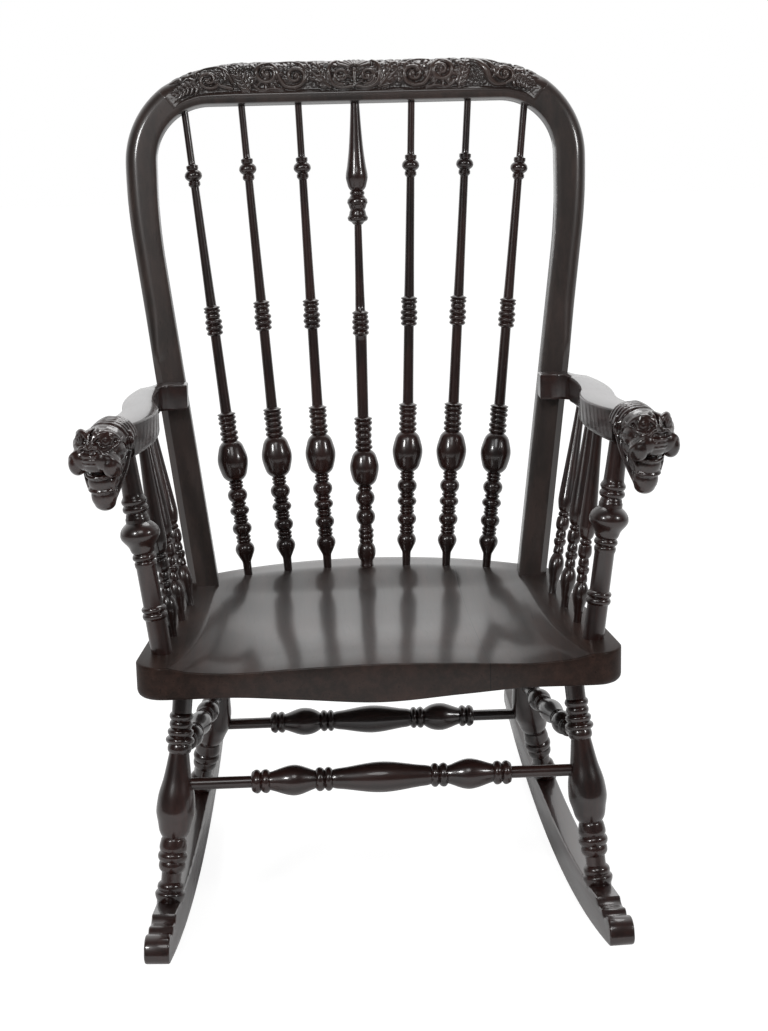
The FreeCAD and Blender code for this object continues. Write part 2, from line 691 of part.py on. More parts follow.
def hoop_tenon(name, side, gap):
    """Square tenon in line with the hoop's post; gap is an expression for the clearance round it."""
    box = doc.addObject("Part::Box", name)
    box.setExpression("Length", f"sizes.hoop_tenon_width + 2 * {gap}")
    box.setExpression("Width", f"sizes.hoop_tenon_thickness + 2 * {gap}")
    box.setExpression("Height", f"sizes.hoop_tenon_length + sizes.overrun + {gap}")
    clear = size("fit_gap") if gap != "0" else 0
    middle = side * hoop_edge(size("post_width") / 2, 0)
    axis = Placement(Vector(middle, 0, 0), Rotation(BACK, side * size("hoop_flare")))
    corner = Placement(Vector(-size("hoop_tenon_width") / 2 - clear,
                              -size("hoop_tenon_thickness") / 2 - clear,
                              -size("hoop_tenon_length") - clear), Rotation())
    box.Placement = bench_from_hoop.multiply(axis).multiply(corner)
    return box


for name, side in SIDES:
    seat_tools.append(hoop_tenon(f"seat_{name}_mortise", side, cell("fit_gap")))
finish_piece("seat", cut_piece("seat", plank, seat_tools))


# Bent hoop: one bow, drawn in its own plane and worked along its outer front edge.
def hoop_side(inner):
    """Right-hand half of an edge of the hoop, from below the seat to the crest."""
    flare = math.radians(size("hoop_flare"))
    start_x = hoop_edge(size("post_width") if inner else 0, 0)
    wide = size("hoop_half_width") - (size("bow_width") if inner else 0)
    sweep = size("hoop_sweep_radius")
    height = size("hoop_height") - (size("crest_width") if inner else 0)
    widest = (wide - sweep * (1 - math.cos(flare)) - start_x) / math.tan(flare)
    widest += sweep * math.sin(flare)

    def on_sweep(angle):
        return wide - sweep * (1 - math.cos(angle)), widest - sweep * math.sin(angle)

    low = -size("hoop_tenon_length") - size("overrun")
    start = (start_x + math.tan(flare) * low, low)
    steps = [(on_sweep(flare),), (on_sweep(flare / 2), (wide, widest))]
    if inner:
        radius = size("hoop_inner_radius")
        clip = radius * (1 - math.sqrt(0.5))
        steps.append(((wide, height - radius),))
        steps.append(((wide - clip, height - clip), (wide - radius, height)))
        return start, steps
    crown = size("hoop_crown_radius")
    radius = HOOP_SIDE_SHARE * (height - widest)
    turn = math.asin((crown - height + widest) / (crown - radius))

    def on_side(angle):
        return wide - radius * (1 - math.cos(angle)), widest + radius * math.sin(angle)

    end = on_side(turn)
    hub = (end[0] - crown * math.cos(turn), height - crown)
    half_turn = (turn + math.pi / 2) / 2
    middle = (hub[0] + crown * math.cos(half_turn), hub[1] + crown * math.sin(half_turn))
    steps.append((on_side(turn / 2), end))
    steps.append((middle, (hub[0], height)))
    return start, steps


outer_start, outer_steps = hoop_side(False)
inner_start, inner_steps = hoop_side(True)
outer_top, inner_top = outer_steps[-1][-1], inner_steps[-1][-1]
outer_edge = outer_steps + [((-outer_top[0], outer_top[1]),)]
outer_edge += mirrored_path(outer_start, outer_steps)
inner_edge = [tuple((-x, s) for x, s in step) for step in inner_steps] + [(inner_top,)]
inner_edge += [tuple((-x, s) for x, s in step) for step in mirrored_path(inner_start, inner_steps)]
hoop_path = outer_edge + [((-inner_start[0], inner_start[1]),)] + inner_edge + [(outer_start,)]
hoop_body = padded("hoop_blank", "XZ_Plane", outer_start, hoop_path, cell("hoop_thickness"))
hoop_body.Placement = bench_from_hoop


def corner_section(point, inward, depth, flats=ROUND_FLAT_COUNT):
    """Ring of corners round the waste of a worked corner, a round cut in flats or one bevel."""
    over = size("overrun")
    centre = point + (inward + BACK) * depth
    turns = [math.pi / 2 * index / flats for index in range(flats + 1)]
    ring = [centre - BACK * (depth * math.cos(turn)) - inward * (depth * math.sin(turn))
            for turn in turns]
    return ring + [ring[-1] - inward * over, point - (inward + BACK) * over, ring[0] - BACK * over]


def hoop_corner_waste():
    """Bevel below the stops, the tongue-shaped stops, and the round over the bow."""
    flare = math.radians(size("hoop_flare"))
    front = -size("hoop_thickness") / 2
    inward = Vector(-math.cos(flare), 0, math.sin(flare))

    def edge_point(along):
        return Vector(hoop_edge(0, along), front, along)

    low = edge_point(-size("hoop_tenon_length") - size("overrun"))
    tip = edge_point(size("hoop_stop_height"))
    full = edge_point(size("hoop_stop_height") + size("hoop_stop_length"))
    rings = [[corner_section(place, inward, size("hoop_bevel"), 1) for place in (low, full)],
             [corner_section(tip, inward, size("hoop_stop_tip"), ROUND_FLAT_COUNT),
              corner_section(full, inward, size("hoop_round"), ROUND_FLAT_COUNT)]]
    waste = [faceted(pair) for pair in rings]
    waste += [faceted([[Vector(-p.x, p.y, p.z) for p in ring] for ring in pair]) for pair in rings]
    here = full
    for step in outer_edge:
        points = [here] + [Vector(x, front, s) for x, s in step]
        if points[-1].z < full.z and points[-1].x < 0:
            points[-1] = Vector(-full.x, front, full.z)
        hub = Part.Arc(*points).toShape().Curve.Center if len(points) == 3 else None
        way = points[-1] - here
        inward = (hub - here if hub else way.cross(BACK)).normalize()
        ring = corner_section(here, inward, size("hoop_round"))
        face = Part.Face(Part.makePolygon(ring + ring[:1]))
        if hub:
            turn = math.degrees((here - hub).getAngle(points[-1] - hub))
            waste.append(face.revolve(hub, BACK * -1, turn))
        else:
            waste.append(face.extrude(way))
        here = points[-1]
    return waste


hoop_tools = []
for number, shape in enumerate(hoop_corner_waste(), start=1):
    waste = doc.addObject("Part::Feature", f"hoop_corner_waste_{number}")
    waste.Shape = shape
    waste.Placement = bench_from_hoop
    hoop_tools.append(waste)
below_seat = doc.addObject("Part::Box", "below_seat")
below_seat.setExpression("Length", "2 * sizes.hoop_half_width")
below_seat.setExpression("Width", cell("seat_depth"))
below_seat.setExpression("Height", cell("hoop_half_width"))
below_seat.Placement.Base = Vector(-size("hoop_half_width"), size("hoop_foot_y") / 2,
                                   size("fit_gap") - size("hoop_half_width"))
foot_tenons = [hoop_tenon(f"hoop_{name}_tenon", side, "0") for name, side in SIDES]
hoop_tools.append(cut_piece("hoop_foot_waste", below_seat, foot_tenons))
spindle_head = f"sizes.back_spindle_radius * {BACK_SPINDLE_SHARES[-1][1]}"
centre_head = f"sizes.back_spindle_radius * {CENTRE_SPINDLE_SHARES[-1][1]}"
for step in range(-3, 4):
    hoop_tools.append(head_socket(f"crest_socket_{step + 4}", back_spindle_line(step),
                                  spindle_head if step else centre_head, "crest_tenon"))
finish_piece("bent_hoop", cut_piece("bent_hoop", hoop_body, hoop_tools))

# Back spindles, the middle one to its own pattern.
for step in range(-3, 4):
    shares = BACK_SPINDLE_SHARES if step else CENTRE_SPINDLE_SHARES
    body = turned(f"back_spindle_{step + 4}", scaled(shares, "back_spindle_radius"),
                  *back_spindle_line(step), "seat_tenon", "crest_tenon")
    finish_piece(f"back_spindle_{step + 4}", body, floor_from_bench.multiply(body.Placement))

# Arms with the post and spindles under them, and the carved heads.
hoop_front = doc.addObject("Part::Box", "hoop_front_plane")
hoop_front.setExpression("Length", "2 * sizes.arm_half_spread + 2 * sizes.hoop_half_width")
hoop_front.setExpression("Width", "sizes.hoop_thickness + sizes.arm_lap")
hoop_front.setExpression("Height", cell("hoop_height"))
hoop_front.Placement = bench_from_hoop.multiply(Placement(
    Vector(-size("arm_half_spread") - size("hoop_half_width"),
           -size("hoop_thickness") / 2 - size("fit_gap"), 0), Rotation()))


def arm_side_view():
    """Outline of the arm seen from the side, as (place back, height): a rising, deepening rail."""
    back = arm_root + size("arm_length")
    front = arm_root - size("arm_length") - size("arm_lap")
    start_share, middle_share, drop_share = ARM_DEEPENING_SHARES
    start = arm_root - start_share * size("arm_length")
    middle = arm_root - middle_share * size("arm_length")
    drop = size("arm_front_drop")
    thickness = size("arm_thickness")
    corner = (front, arm_underside(front) - drop)
    steps = [((start, arm_underside(start)),),
             ((middle, arm_underside(middle) - drop * drop_share), corner),
             ((front, arm_underside(front) + thickness),),
             ((back, arm_underside(back) + thickness),), ((back, arm_underside(back)),)]
    return (back, arm_underside(back)), steps


def head_view(shares, across, up, mirrored=True):
    """Closed outline of the carved head from shares of two named sizes, mirrored or whole."""
    points = [(x * size(across), y * size(up)) for x, y in shares]
    if mirrored:
        points += [(-x, y) for x, y in reversed(points)]
    return polygon(points)


for name, side in SIDES:
    plan_start = arm_point(side, ARM_START_SHARE)
    plan_steps = [tuple(arm_point(side, shares) for shares in step)
                  for step in ARM_OUTER_SHARES + ARM_INNER_SHARES]
    first = (arm_point(side, (ARM_OUTER_SHARES[0][0][0], ARM_START_SHARE[1])),)
    plan = padded(f"{name}_arm_plan", "XY_Plane", plan_start,
                  [first] + plan_steps + [(plan_start,)], cell("hoop_height"), False)
    rail = padded(f"{name}_arm_rail", "YZ_Plane", *arm_side_view(),
                  "4 * sizes.arm_half_spread")
    tools = [hoop_front]
    for index in range(len(ARM_SUPPORT_SHARES)):
        line = arm_support(side, index)
        shares, radius = arm_support_pattern(index)
        tools.append(head_socket(f"{name}_arm_socket_{index}", line,
                                 f"{cell(radius)} * {shares[-1][1]}", "arm_tenon"))
        label = f"{name}_arm_spindle_{index}" if index else f"{name}_front_arm_post"
        body = turned(label, scaled(shares, radius), *line, "seat_tenon", "arm_tenon")
        finish_piece(label, body, floor_from_bench.multiply(body.Placement))
    finish_piece(f"{name}_arm", cut_piece(f"{name}_arm", common(f"{name}_arm_blank", [plan, rail]),
                                          tools))

    outer = Vector(*arm_point(side, ARM_OUTER_SHARES[-1][-1]), 0)
    inner = Vector(*arm_point(side, ARM_INNER_SHARES[0][-1]), 0)
    middle = (outer + inner) * 0.5
    outward = (outer - inner).normalize()
    ahead = Vector(outward.y * side, -outward.x * side, 0)
    middle.z = arm_underside(middle.y) + (size("arm_thickness") - size("arm_front_drop")) / 2
    frame = Placement(shift(middle, ahead, size("fit_gap")),
                      Rotation(UP.cross(ahead), UP, ahead, "XYZ"))
    width, length, height = "head_half_width", "head_length", "head_height"
    views = [padded(f"{name}_head_side", "YZ_Plane",
                    *head_view([(up, along) for along, up in HEAD_SIDE_SHARES], height, length, False),
                    "4 * sizes.head_half_width"),
             padded(f"{name}_head_plan", "XZ_Plane", *head_view(HEAD_PLAN_SHARES, width, length),
                    "6 * sizes.head_height"),
             padded(f"{name}_head_front", "XY_Plane", *head_view(HEAD_FRONT_SHARES, width, height),
                    "4 * sizes.head_length")]
    for view in views:
        view.Placement = frame
    head = common(f"{name}_carved_head", views)
    finish_piece(f"{name}_carved_head", head)

doc.recompute()

failed = [item.Label for item in doc.Objects if "Invalid" in item.State or "Error" in item.State]
if failed:
    raise RuntimeError("features that did not compute: " + ", ".join(failed))
os.makedirs("parts", exist_ok=True)
for label, piece in sorted(pieces.items()):
    shape = piece.Shape
    if shape.isNull() or not shape.isValid() or not shape.Solids:
        raise RuntimeError("bad shape: " + label)
    shape.exportStep(f"parts/{label}.step")
    print(f"{label}: {len(shape.Solids)} solid(s), {shape.Volume / 1000:.1f} cm3")
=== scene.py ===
"""Dresses the hoop back rocking chair: fine turnings, saddled seat, carved crest and arm heads."""
from __future__ import annotations

import logging
import math
from collections.abc import Callable, Sequence
from dataclasses import dataclass, field
from enum import Enum

import bmesh
import bpy
import numpy as np
from mathutils import Matrix, Vector

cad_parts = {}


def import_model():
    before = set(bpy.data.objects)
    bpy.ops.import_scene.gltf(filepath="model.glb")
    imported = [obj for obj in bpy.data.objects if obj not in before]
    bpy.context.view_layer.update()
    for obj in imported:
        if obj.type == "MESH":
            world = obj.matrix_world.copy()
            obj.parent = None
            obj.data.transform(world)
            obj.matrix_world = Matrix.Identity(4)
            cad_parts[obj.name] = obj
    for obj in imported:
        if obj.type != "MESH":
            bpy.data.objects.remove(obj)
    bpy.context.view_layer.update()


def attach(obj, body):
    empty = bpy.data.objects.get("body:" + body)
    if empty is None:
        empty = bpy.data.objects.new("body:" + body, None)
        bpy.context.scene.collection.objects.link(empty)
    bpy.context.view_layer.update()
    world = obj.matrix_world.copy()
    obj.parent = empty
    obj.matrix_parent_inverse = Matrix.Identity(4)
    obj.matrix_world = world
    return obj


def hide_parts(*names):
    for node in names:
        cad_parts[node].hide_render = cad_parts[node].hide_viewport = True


LOG = logging.getLogger("rocking_chair")
MM = 0.001
BODY = "root"
SIDES = (("left", -1), ("right", 1))
QUARTER = math.pi / 2
STRAIGHT = 1e-6
MITRE = 0.6

Mesh = bmesh.types.BMesh
Vert = bmesh.types.BMVert
Material = bpy.types.Material
Colour = tuple[float, float, float]


class Grain(Enum):
    """Stretch of the wood's figure along the way that its fibres run, in the chair's frame."""

    ACROSS = (0.07, 1.0, 1.0)
    BACK = (1.0, 0.07, 1.0)
    UP = (1.0, 1.0, 0.07)


class Flank(Enum):
    """Sides of the crest's middle that a carved form is drawn on."""

    BOTH = (-1, 1)
    LEFT = (-1,)
    RIGHT = (1,)


# ---- shader maths ----------------------------------------------------------------------------


class Value:
    """A number that flows through the node tree, so that maths reads as plain expressions."""

    def __init__(self, sheet: NodeSheet, socket: bpy.types.NodeSocket) -> None:
        """Wraps a socket of one node sheet."""
        self.sheet = sheet
        self.socket = socket

    def _math(self, operation: str, one: Value | float, two: Value | float) -> Value:
        """Adds a Math node on two values."""
        made = self.sheet.node("ShaderNodeMath", {"operation": operation}, {0: one, 1: two})
        return made["Value"]

    def __add__(self, other: Value | float) -> Value:
        """Sum."""
        return self._math("ADD", self, other)

    __radd__ = __add__

    def __sub__(self, other: Value | float) -> Value:
        """Difference."""
        return self._math("SUBTRACT", self, other)

    def __rsub__(self, other: Value | float) -> Value:
        """Difference from a number."""
        return self._math("SUBTRACT", other, self)

    def __mul__(self, other: Value | float) -> Value:
        """Product."""
        return self._math("MULTIPLY", self, other)

    __rmul__ = __mul__

    def __abs__(self) -> Value:
        """Size without its sign."""
        return self._math("ABSOLUTE", self, 0.0)

    def between(self, low: float, high: float) -> Value:
        """Share of the way from low to high, kept within 0 and 1."""
        return self.sheet.node(
            "ShaderNodeMapRange", {"clamp": True, "interpolation_type": "SMOOTHSTEP"},
            {0: self, 1: low, 2: high, 3: 0.0, 4: 1.0})["Result"]


class NodeSheet:
    """Node tree of one material or world."""

    MIX_FACTOR, MIX_LOW, MIX_HIGH, MIX_COLOUR = 0, 6, 7, 2

    def __init__(self, owner: Material | bpy.types.World) -> None:
        """Clears the owner's tree."""
        owner.use_nodes = True
        self.tree = owner.node_tree
        self.tree.nodes.clear()

    def node(self, kind: str, settings: dict | None = None, inputs: dict | None = None) -> dict:
        """Adds one node.

        Args:
            kind: the node's type.
            settings: its own properties, set first.
            inputs: values or links for its sockets, by name or number.

        Returns:
            The node's outputs by name, and the node itself under "node".
        """
        made = self.tree.nodes.new(kind)
        for name, value in (settings or {}).items():
            setattr(made, name, value)
        for name, value in (inputs or {}).items():
            socket = made.inputs[name]
            if isinstance(value, Value):
                self.tree.links.new(value.socket, socket)
            elif socket.type == "RGBA":
                socket.default_value = (*value, 1.0)
            else:
                socket.default_value = value
        return {out.name: Value(self, out) for out in made.outputs if out.enabled} | {"node": made}

    def blend(self, factor: Value, low: Value | Colour, high: Value | Colour) -> Value:
        """Mixes two colours.

        Args:
            factor: how much of the second colour shows.
            low: first colour.
            high: second colour.

        Returns:
            The mixed colour.
        """
        made = self.node("ShaderNodeMix", {"data_type": "RGBA"}, {
            self.MIX_FACTOR: factor, self.MIX_LOW: low, self.MIX_HIGH: high})["node"]
        return Value(self, made.outputs[self.MIX_COLOUR])

    def noise(self, place: Value, scale: float, detail: float, roughness: float,
              distortion: float = 0.0) -> Value:
        """Adds a noise pattern at a place, with the settings of its node."""
        return self.node("ShaderNodeTexNoise", None, {
            "Vector": place, "Scale": scale, "Detail": detail, "Roughness": roughness,
            "Distortion": distortion})["Fac"]


@dataclass(frozen=True)
class Varnish:
    """Dark mahogany stain under a satin varnish, for one run of the grain."""

    name: str
    grain: Grain
    dark: Colour = (0.008, 0.0040, 0.0034)
    warm: Colour = (0.032, 0.0098, 0.0072)
    # Lighter colour for the raised carved forms: rubbed wear on the high spots, and a painted
    # highlight
    rub_and_highlight: Colour = (0.105, 0.070, 0.060)
    figure_noise: tuple = (55.0, 6.0, 0.62, 0.4)
    streak_noise: tuple = (240.0, 4.0, 0.55)
    cloud_noise: tuple = (9.0, 3.0, 0.5)
    # Share of the dark colour for the grain's pores, and for the painted shade in the carved
    # hollows
    pore_and_hollow_shade: float = 0.35
    seam_shade: float = 0.25
    roughness: float = 0.32
    coat: float = 0.85
    coat_roughness: float = 0.10
    gloss: float = 0.5
    index: float = 1.5
    bump: float = 0.18
    bump_depth: float = 0.0006
    seam: float | None = None
    seam_front: float = 0.258
    seam_slant: float = 0.0216
    seam_edges: tuple[float, float] = (0.0003, 0.0009)
    worn: bool = False
    worn_middle: float = 0.03
    worn_across: tuple[float, float] = (0.11, 0.25)
    worn_back: tuple[float, float] = (-0.27, 0.02)
    carved: bool = False

    def shade(self, share: float) -> Colour:
        """The dark colour at a share of its brightness."""
        return tuple(c * share for c in self.dark)

    def material(self) -> Material:
        """Builds the finish.

        Returns:
            The material.
        """
        material = bpy.data.materials.new(self.name)
        sheet = NodeSheet(material)
        place = sheet.node("ShaderNodeTexCoord")["Object"]
        parts = sheet.node("ShaderNodeSeparateXYZ", None, {"Vector": place})
        along = sheet.node("ShaderNodeMapping", None, {
            "Vector": place, "Scale": self.grain.value})["Vector"]
        figure = sheet.noise(along, *self.figure_noise)
        streak = sheet.noise(along, *self.streak_noise)
        cloud = sheet.noise(place, *self.cloud_noise)
        tone = figure.between(0.36, 0.70) * 0.55 + streak.between(0.45, 0.68) * 0.25
        tone = tone + cloud.between(0.38, 0.66) * 0.30
        colour = sheet.blend(tone, self.dark, self.warm)
        colour = sheet.blend(streak.between(0.60, 0.70) * 0.55, colour, self.shade(self.pore_and_hollow_shade))
        if self.carved:
            relief = sheet.node("ShaderNodeAttribute", {"attribute_name": "relief"})["Fac"]
            # Raised carved forms are mixed towards the lighter colour: rubbed wear, and a painted
            # highlight where they would catch the light
            colour = sheet.blend(relief.between(0.65, 1.10) * 0.35, colour, self.rub_and_highlight)
            # Painted shade: the low carved ground between the forms is darkened where shade falls
            # in the hollows
            colour = sheet.blend((1.0 - relief.between(0.05, 0.45)) * 0.70, colour,
                                 self.shade(self.pore_and_hollow_shade))
        height = streak * 0.35 + cloud * 0.65
        if self.seam is not None:
            offset = abs(parts["X"] + (parts["Y"] + self.seam_front) * self.seam_slant - self.seam)
            groove = 1.0 - offset.between(*self.seam_edges)
            colour = sheet.blend(groove * 0.8, colour, self.shade(self.seam_shade))
            height = height - groove * 2.0
        coat: Value | float = self.coat
        gloss: Value | float = self.gloss
        if self.worn:
            across = abs(parts["X"] + cloud * 0.06 - self.worn_middle)
            polish = 1.0 - across.between(*self.worn_across) * 0.72
            polish = polish * (parts["Y"].between(*self.worn_back) * 0.60 + 0.40)
            coat, gloss = polish * self.coat, polish * self.gloss
        bump = sheet.node("ShaderNodeBump", None, {
            "Strength": self.bump, "Distance": self.bump_depth, "Height": height})["Normal"]
        shader = sheet.node("ShaderNodeBsdfPrincipled", None, {
            "Base Color": colour, "Roughness": self.roughness - 0.08 + cloud * 0.12 + streak * 0.06,
            "Coat Weight": coat, "Coat Roughness": self.coat_roughness, "Coat IOR": self.index,
            "IOR": self.index, "Specular IOR Level": gloss, "Normal": bump})["BSDF"]
        sheet.node("ShaderNodeOutputMaterial", None, {"Surface": shader})
        return material


# ---- curves and outlines ---------------------------------------------------------------------


def quarter_turn(steps: int) -> list[tuple[float, float]]:
    """Cosine and sine at even steps of a quarter turn, both ends included."""
    turns = [QUARTER * k / steps for k in range(steps + 1)]
    return [(math.cos(turn), math.sin(turn)) for turn in turns]


def hermite(t: float, start: float, end: float, leave: float, arrive: float) -> float:
    """Cubic between two values at a share t, with the slopes it leaves and arrives with."""
    return ((2 * t ** 3 - 3 * t ** 2 + 1) * start + (t ** 3 - 2 * t ** 2 + t) * leave
            + (3 * t ** 2 - 2 * t ** 3) * end + (t ** 3 - t ** 2) * arrive)


def curve_at(places: Sequence[float], values: Sequence[float], at: float) -> float:
    """Value at a place of a curve without overshoot, level at its first place.

    Args:
        places: where the curve is given, in order.
        values: what it is there.
        at: the place asked for, kept within the others.

    Returns:
        The curve's value.
    """
    x, y = np.array(places), np.array(values)
    run, rate = np.diff(x), np.diff(y) / np.diff(x)
    slope = np.zeros(len(x))
    for i in range(1, len(x) - 1):
        if rate[i - 1] * rate[i] > 0:
            slope[i] = 2 * rate[i - 1] * rate[i] / (rate[i - 1] + rate[i])
    slope[-1] = rate[-1]
    at = min(max(at, x[0]), x[-1])
    i = min(int(np.searchsorted(x, at, side="right")) - 1, len(run) - 1)
    return float(hermite((at - x[i]) / run[i], y[i], y[i + 1], run[i] * slope[i],
                         run[i] * slope[i + 1]))


def smooth_line(points: Sequence[tuple], steps: int) -> np.ndarray:
    """Fine smooth line through places.

    Args:
        points: the places, in order.
        steps: pieces between two of them.

    Returns:
        The line's points, one a row.
    """
    pts = np.array(points, float)
    pad = np.vstack([2 * pts[0] - pts[1], pts, 2 * pts[-1] - pts[-2]])
    fine = []
    for i in range(len(pts) - 1):
        p0, p1, p2, p3 = pad[i:i + 4]
        for t in np.arange(steps) / steps:
            fine.append(0.5 * (2 * p1 + (p2 - p0) * t + (2 * p0 - 5 * p1 + 4 * p2 - p3) * t ** 2
                               + (3 * p1 - p0 - 3 * p2 + p3) * t ** 3))
    return np.array(fine + [pts[-1]])


def line(start: tuple, end: tuple, count: int) -> list[Vector]:
    """Evenly spaced points on a straight run, without the last one."""
    a, b = Vector(start).to_2d(), Vector(end).to_2d()
    return [a.lerp(b, k / count) for k in range(count)]


def arc(start: tuple, middle: tuple, end: tuple, count: int) -> list[Vector]:
    """Points on the circle arc through three places, without the last one.

    Args:
        start: where the arc starts.
        middle: a place on it.
        end: where it ends.
        count: number of points.

    Returns:
        The points, from the start on.
    """
    a, b, c = Vector(start).to_2d(), Vector(middle).to_2d(), Vector(end).to_2d()
    area = 2 * (a.x * (b.y - c.y) + b.x * (c.y - a.y) + c.x * (a.y - b.y))
    if abs(area) < STRAIGHT:
        return line(a, c, count)
    sa, sb, sc = a.length_squared, b.length_squared, c.length_squared
    hub = Vector(((sa * (b.y - c.y) + sb * (c.y - a.y) + sc * (a.y - b.y)) / area,
                  (sa * (c.x - b.x) + sb * (a.x - c.x) + sc * (b.x - a.x)) / area))
    first, through, last = (math.atan2(p.y - hub.y, p.x - hub.x) for p in (a, b, c))
    turn = (last - first) % (2 * math.pi)
    if (through - first) % (2 * math.pi) > turn:
        turn -= 2 * math.pi
    radius = (a - hub).length
    angles = [first + turn * k / count for k in range(count)]
    return [hub + Vector((math.cos(angle), math.sin(angle))) * radius for angle in angles]


def run_through(start: tuple, runs: Sequence[tuple]) -> list[Vector]:
    """Points along straight runs and arcs, without the last one.

    Args:
        start: where the first run starts.
        runs: for each run its number of points and then its end, or a place on its arc and its end.

    Returns:
        The points.
    """
    here, points = start, []
    for count, *ends in runs:
        points += line(here, *ends, count) if len(ends) == 1 else arc(here, *ends, count)
        here = ends[-1]
    return points


def outward(points: list[Vector]) -> list[Vector]:
    """Outward directions at the corners of a closed outline walked anticlockwise."""
    ways = []
    for before, here, after in zip(points[-1:] + points[:-1], points, points[1:] + points[:1]):
        one = (here - before).normalized()
        mean = (one + (after - here).normalized()).normalized()
        ways.append(Vector((mean.y, -mean.x)) * (1.0 / max(mean.dot(one), MITRE)))
    return ways


def anticlockwise(points: list[Vector]) -> list[Vector]:
    """The same outline walked anticlockwise."""
    area = sum(a.x * b.y - b.x * a.y for a, b in zip(points, points[1:] + points[:1]))
    return points if area > 0 else points[::-1]


def eased(points: Sequence[tuple[float, float]], pitch: float = 2.2,
          short: float = 24.0, quick: float = 2.4) -> list[tuple[float, float]]:
    """Fine lathe profile: round tops on beads, crisp grooves and long easy curves between them.

    Args:
        points: heights and radii of the profile's turning points.
        pitch: distance between the finished profile's points.
        short: runs below this length are beads, which swell quickly.
        quick: how much steeper a bead leaves its groove.

    Returns:
        The finished profile.
    """
    h, r = (np.array(column) for column in zip(*points))
    run = np.diff(h)
    rate = np.diff(r) / run
    leave, arrive = rate.copy(), rate.copy()
    for i in range(1, len(h) - 1):
        before, after = rate[i - 1], rate[i]
        if before > 0 > after:
            arrive[i - 1] = leave[i] = 0.0
        elif before * after > 0:
            arrive[i - 1] = leave[i] = 2 * before * after / (before + after)
        else:
            if abs(before) > STRAIGHT and run[i - 1] < short:
                arrive[i - 1] = before * quick
            if abs(after) > STRAIGHT and run[i] < short:
                leave[i] = after * quick
    fine = [(float(h[0]), float(r[0]))]
    for i, length in enumerate(run):
        plain = abs(rate[i]) < STRAIGHT and length > 8
        steps = 1 if plain else int(min(max(length / pitch, 4), 14))
        for t in (k / steps for k in range(1, steps + 1)):
            radius = hermite(t, r[i], r[i + 1], length * leave[i], length * arrive[i])
            fine.append((float(h[i] + length * t), float(max(radius, 0.5))))
    return fine


# ---- mesh helpers ----------------------------------------------------------------------------


def add_piece(bm: Mesh, name: str, material: Material, nodes: tuple[str, ...],
              crisp: float) -> None:
    """Turns a finished bmesh, in metres in the chair's frame, into a piece of the chair.

    Args:
        bm: the mesh, freed here.
        name: the piece's name.
        material: its finish.
        nodes: the solids that it stands for.
        crisp: edges sharper than this angle in degrees stay crisp.
    """
    bmesh.ops.recalc_face_normals(bm, faces=bm.faces)
    mesh = bpy.data.meshes.new(name)
    bm.to_mesh(mesh)
    bm.free()
    mesh.polygons.foreach_set("use_smooth", [True] * len(mesh.polygons))
    mesh.set_sharp_from_angle(angle=math.radians(crisp))
    mesh.materials.append(material)
    piece = bpy.data.objects.new(name, mesh)
    bpy.context.scene.collection.objects.link(piece)
    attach(piece, BODY)
    if nodes:
        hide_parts(*nodes)
    LOG.info("%s: %d faces", name, len(mesh.polygons))


def pour(part: Mesh, bm: Mesh) -> None:
    """Adds a small finished mesh to a bigger one, and frees it."""
    mesh = bpy.data.meshes.new("part")
    part.to_mesh(mesh)
    part.free()
    bm.from_mesh(mesh)
    bpy.data.meshes.remove(mesh)


def bridge_all(bm: Mesh, rings: list[list[Vector]]) -> None:
    """Bridges closed rings of corners one after another into a tube with filled ends."""
    loops = []
    for ring in rings:
        verts = [bm.verts.new(point) for point in ring]
        loops.append([bm.edges.new(pair) for pair in zip(verts, verts[1:] + verts[:1])])
    for below, above in zip(loops, loops[1:]):
        bmesh.ops.bridge_loops(bm, edges=below + above)
    for loop in (loops[0], loops[-1]):
        bmesh.ops.contextual_create(bm, geom=loop)


def placed(rings: list[list[Vector]], frame: Matrix) -> list[list[Vector]]:
    """Rings given in millimetres in a frame, in the floor frame in metres."""
    return [[frame @ (corner * MM) for corner in ring] for ring in rings]


def mapped_grid(bm: Mesh, across: int, along: int,
                place: Callable[[float, float], Vector]) -> list[Vert]:
    """Adds a grid whose corners are put where a rule says.

    Args:
        bm: the mesh.
        across: faces in the first direction.
        along: faces in the second direction.
        place: gives the point for two shares from 0 to 1.

    Returns:
        The grid's corners, row by row.
    """
    verts = bmesh.ops.create_grid(bm, x_segments=across, y_segments=along, size=0.5)["verts"]
    for vert in verts:
        vert.co = place(vert.co.x + 0.5, vert.co.y + 0.5)
    return verts


def spun(bm: Mesh, profile: list[tuple[float, float]], foot: Vector, head: Vector,
         steps: int) -> None:
    """Spins a profile about the line from foot to head.

    Args:
        bm: the mesh it is added to.
        profile: heights from the foot and radii, in millimetres.
        foot: lower end of the line, in metres.
        head: upper end of the line, in metres.
        steps: faces round the turning.
    """
    turn = bmesh.new()
    chain = [turn.verts.new((radius * MM, 0, height * MM))
             for height, radius in ((profile[0][0], 0), *profile, (profile[-1][0], 0))]
    edges = [turn.edges.new(pair) for pair in zip(chain, chain[1:])]
    bmesh.ops.spin(turn, geom=chain + edges, cent=(0, 0, 0), axis=(0, 0, 1), dvec=(0, 0, 0),
                   angle=2 * math.pi, steps=steps, use_merge=True, use_duplicate=False)
    bmesh.ops.remove_doubles(turn, verts=turn.verts, dist=1e-7)
    bmesh.ops.recalc_face_normals(turn, faces=turn.faces)
    stand = (head - foot).to_track_quat("Z", "Y").to_matrix().to_4x4()
    turn.transform(Matrix.Translation(foot) @ stand)
    pour(turn, bm)


# ---- the chair's lines -----------------------------------------------------------------------


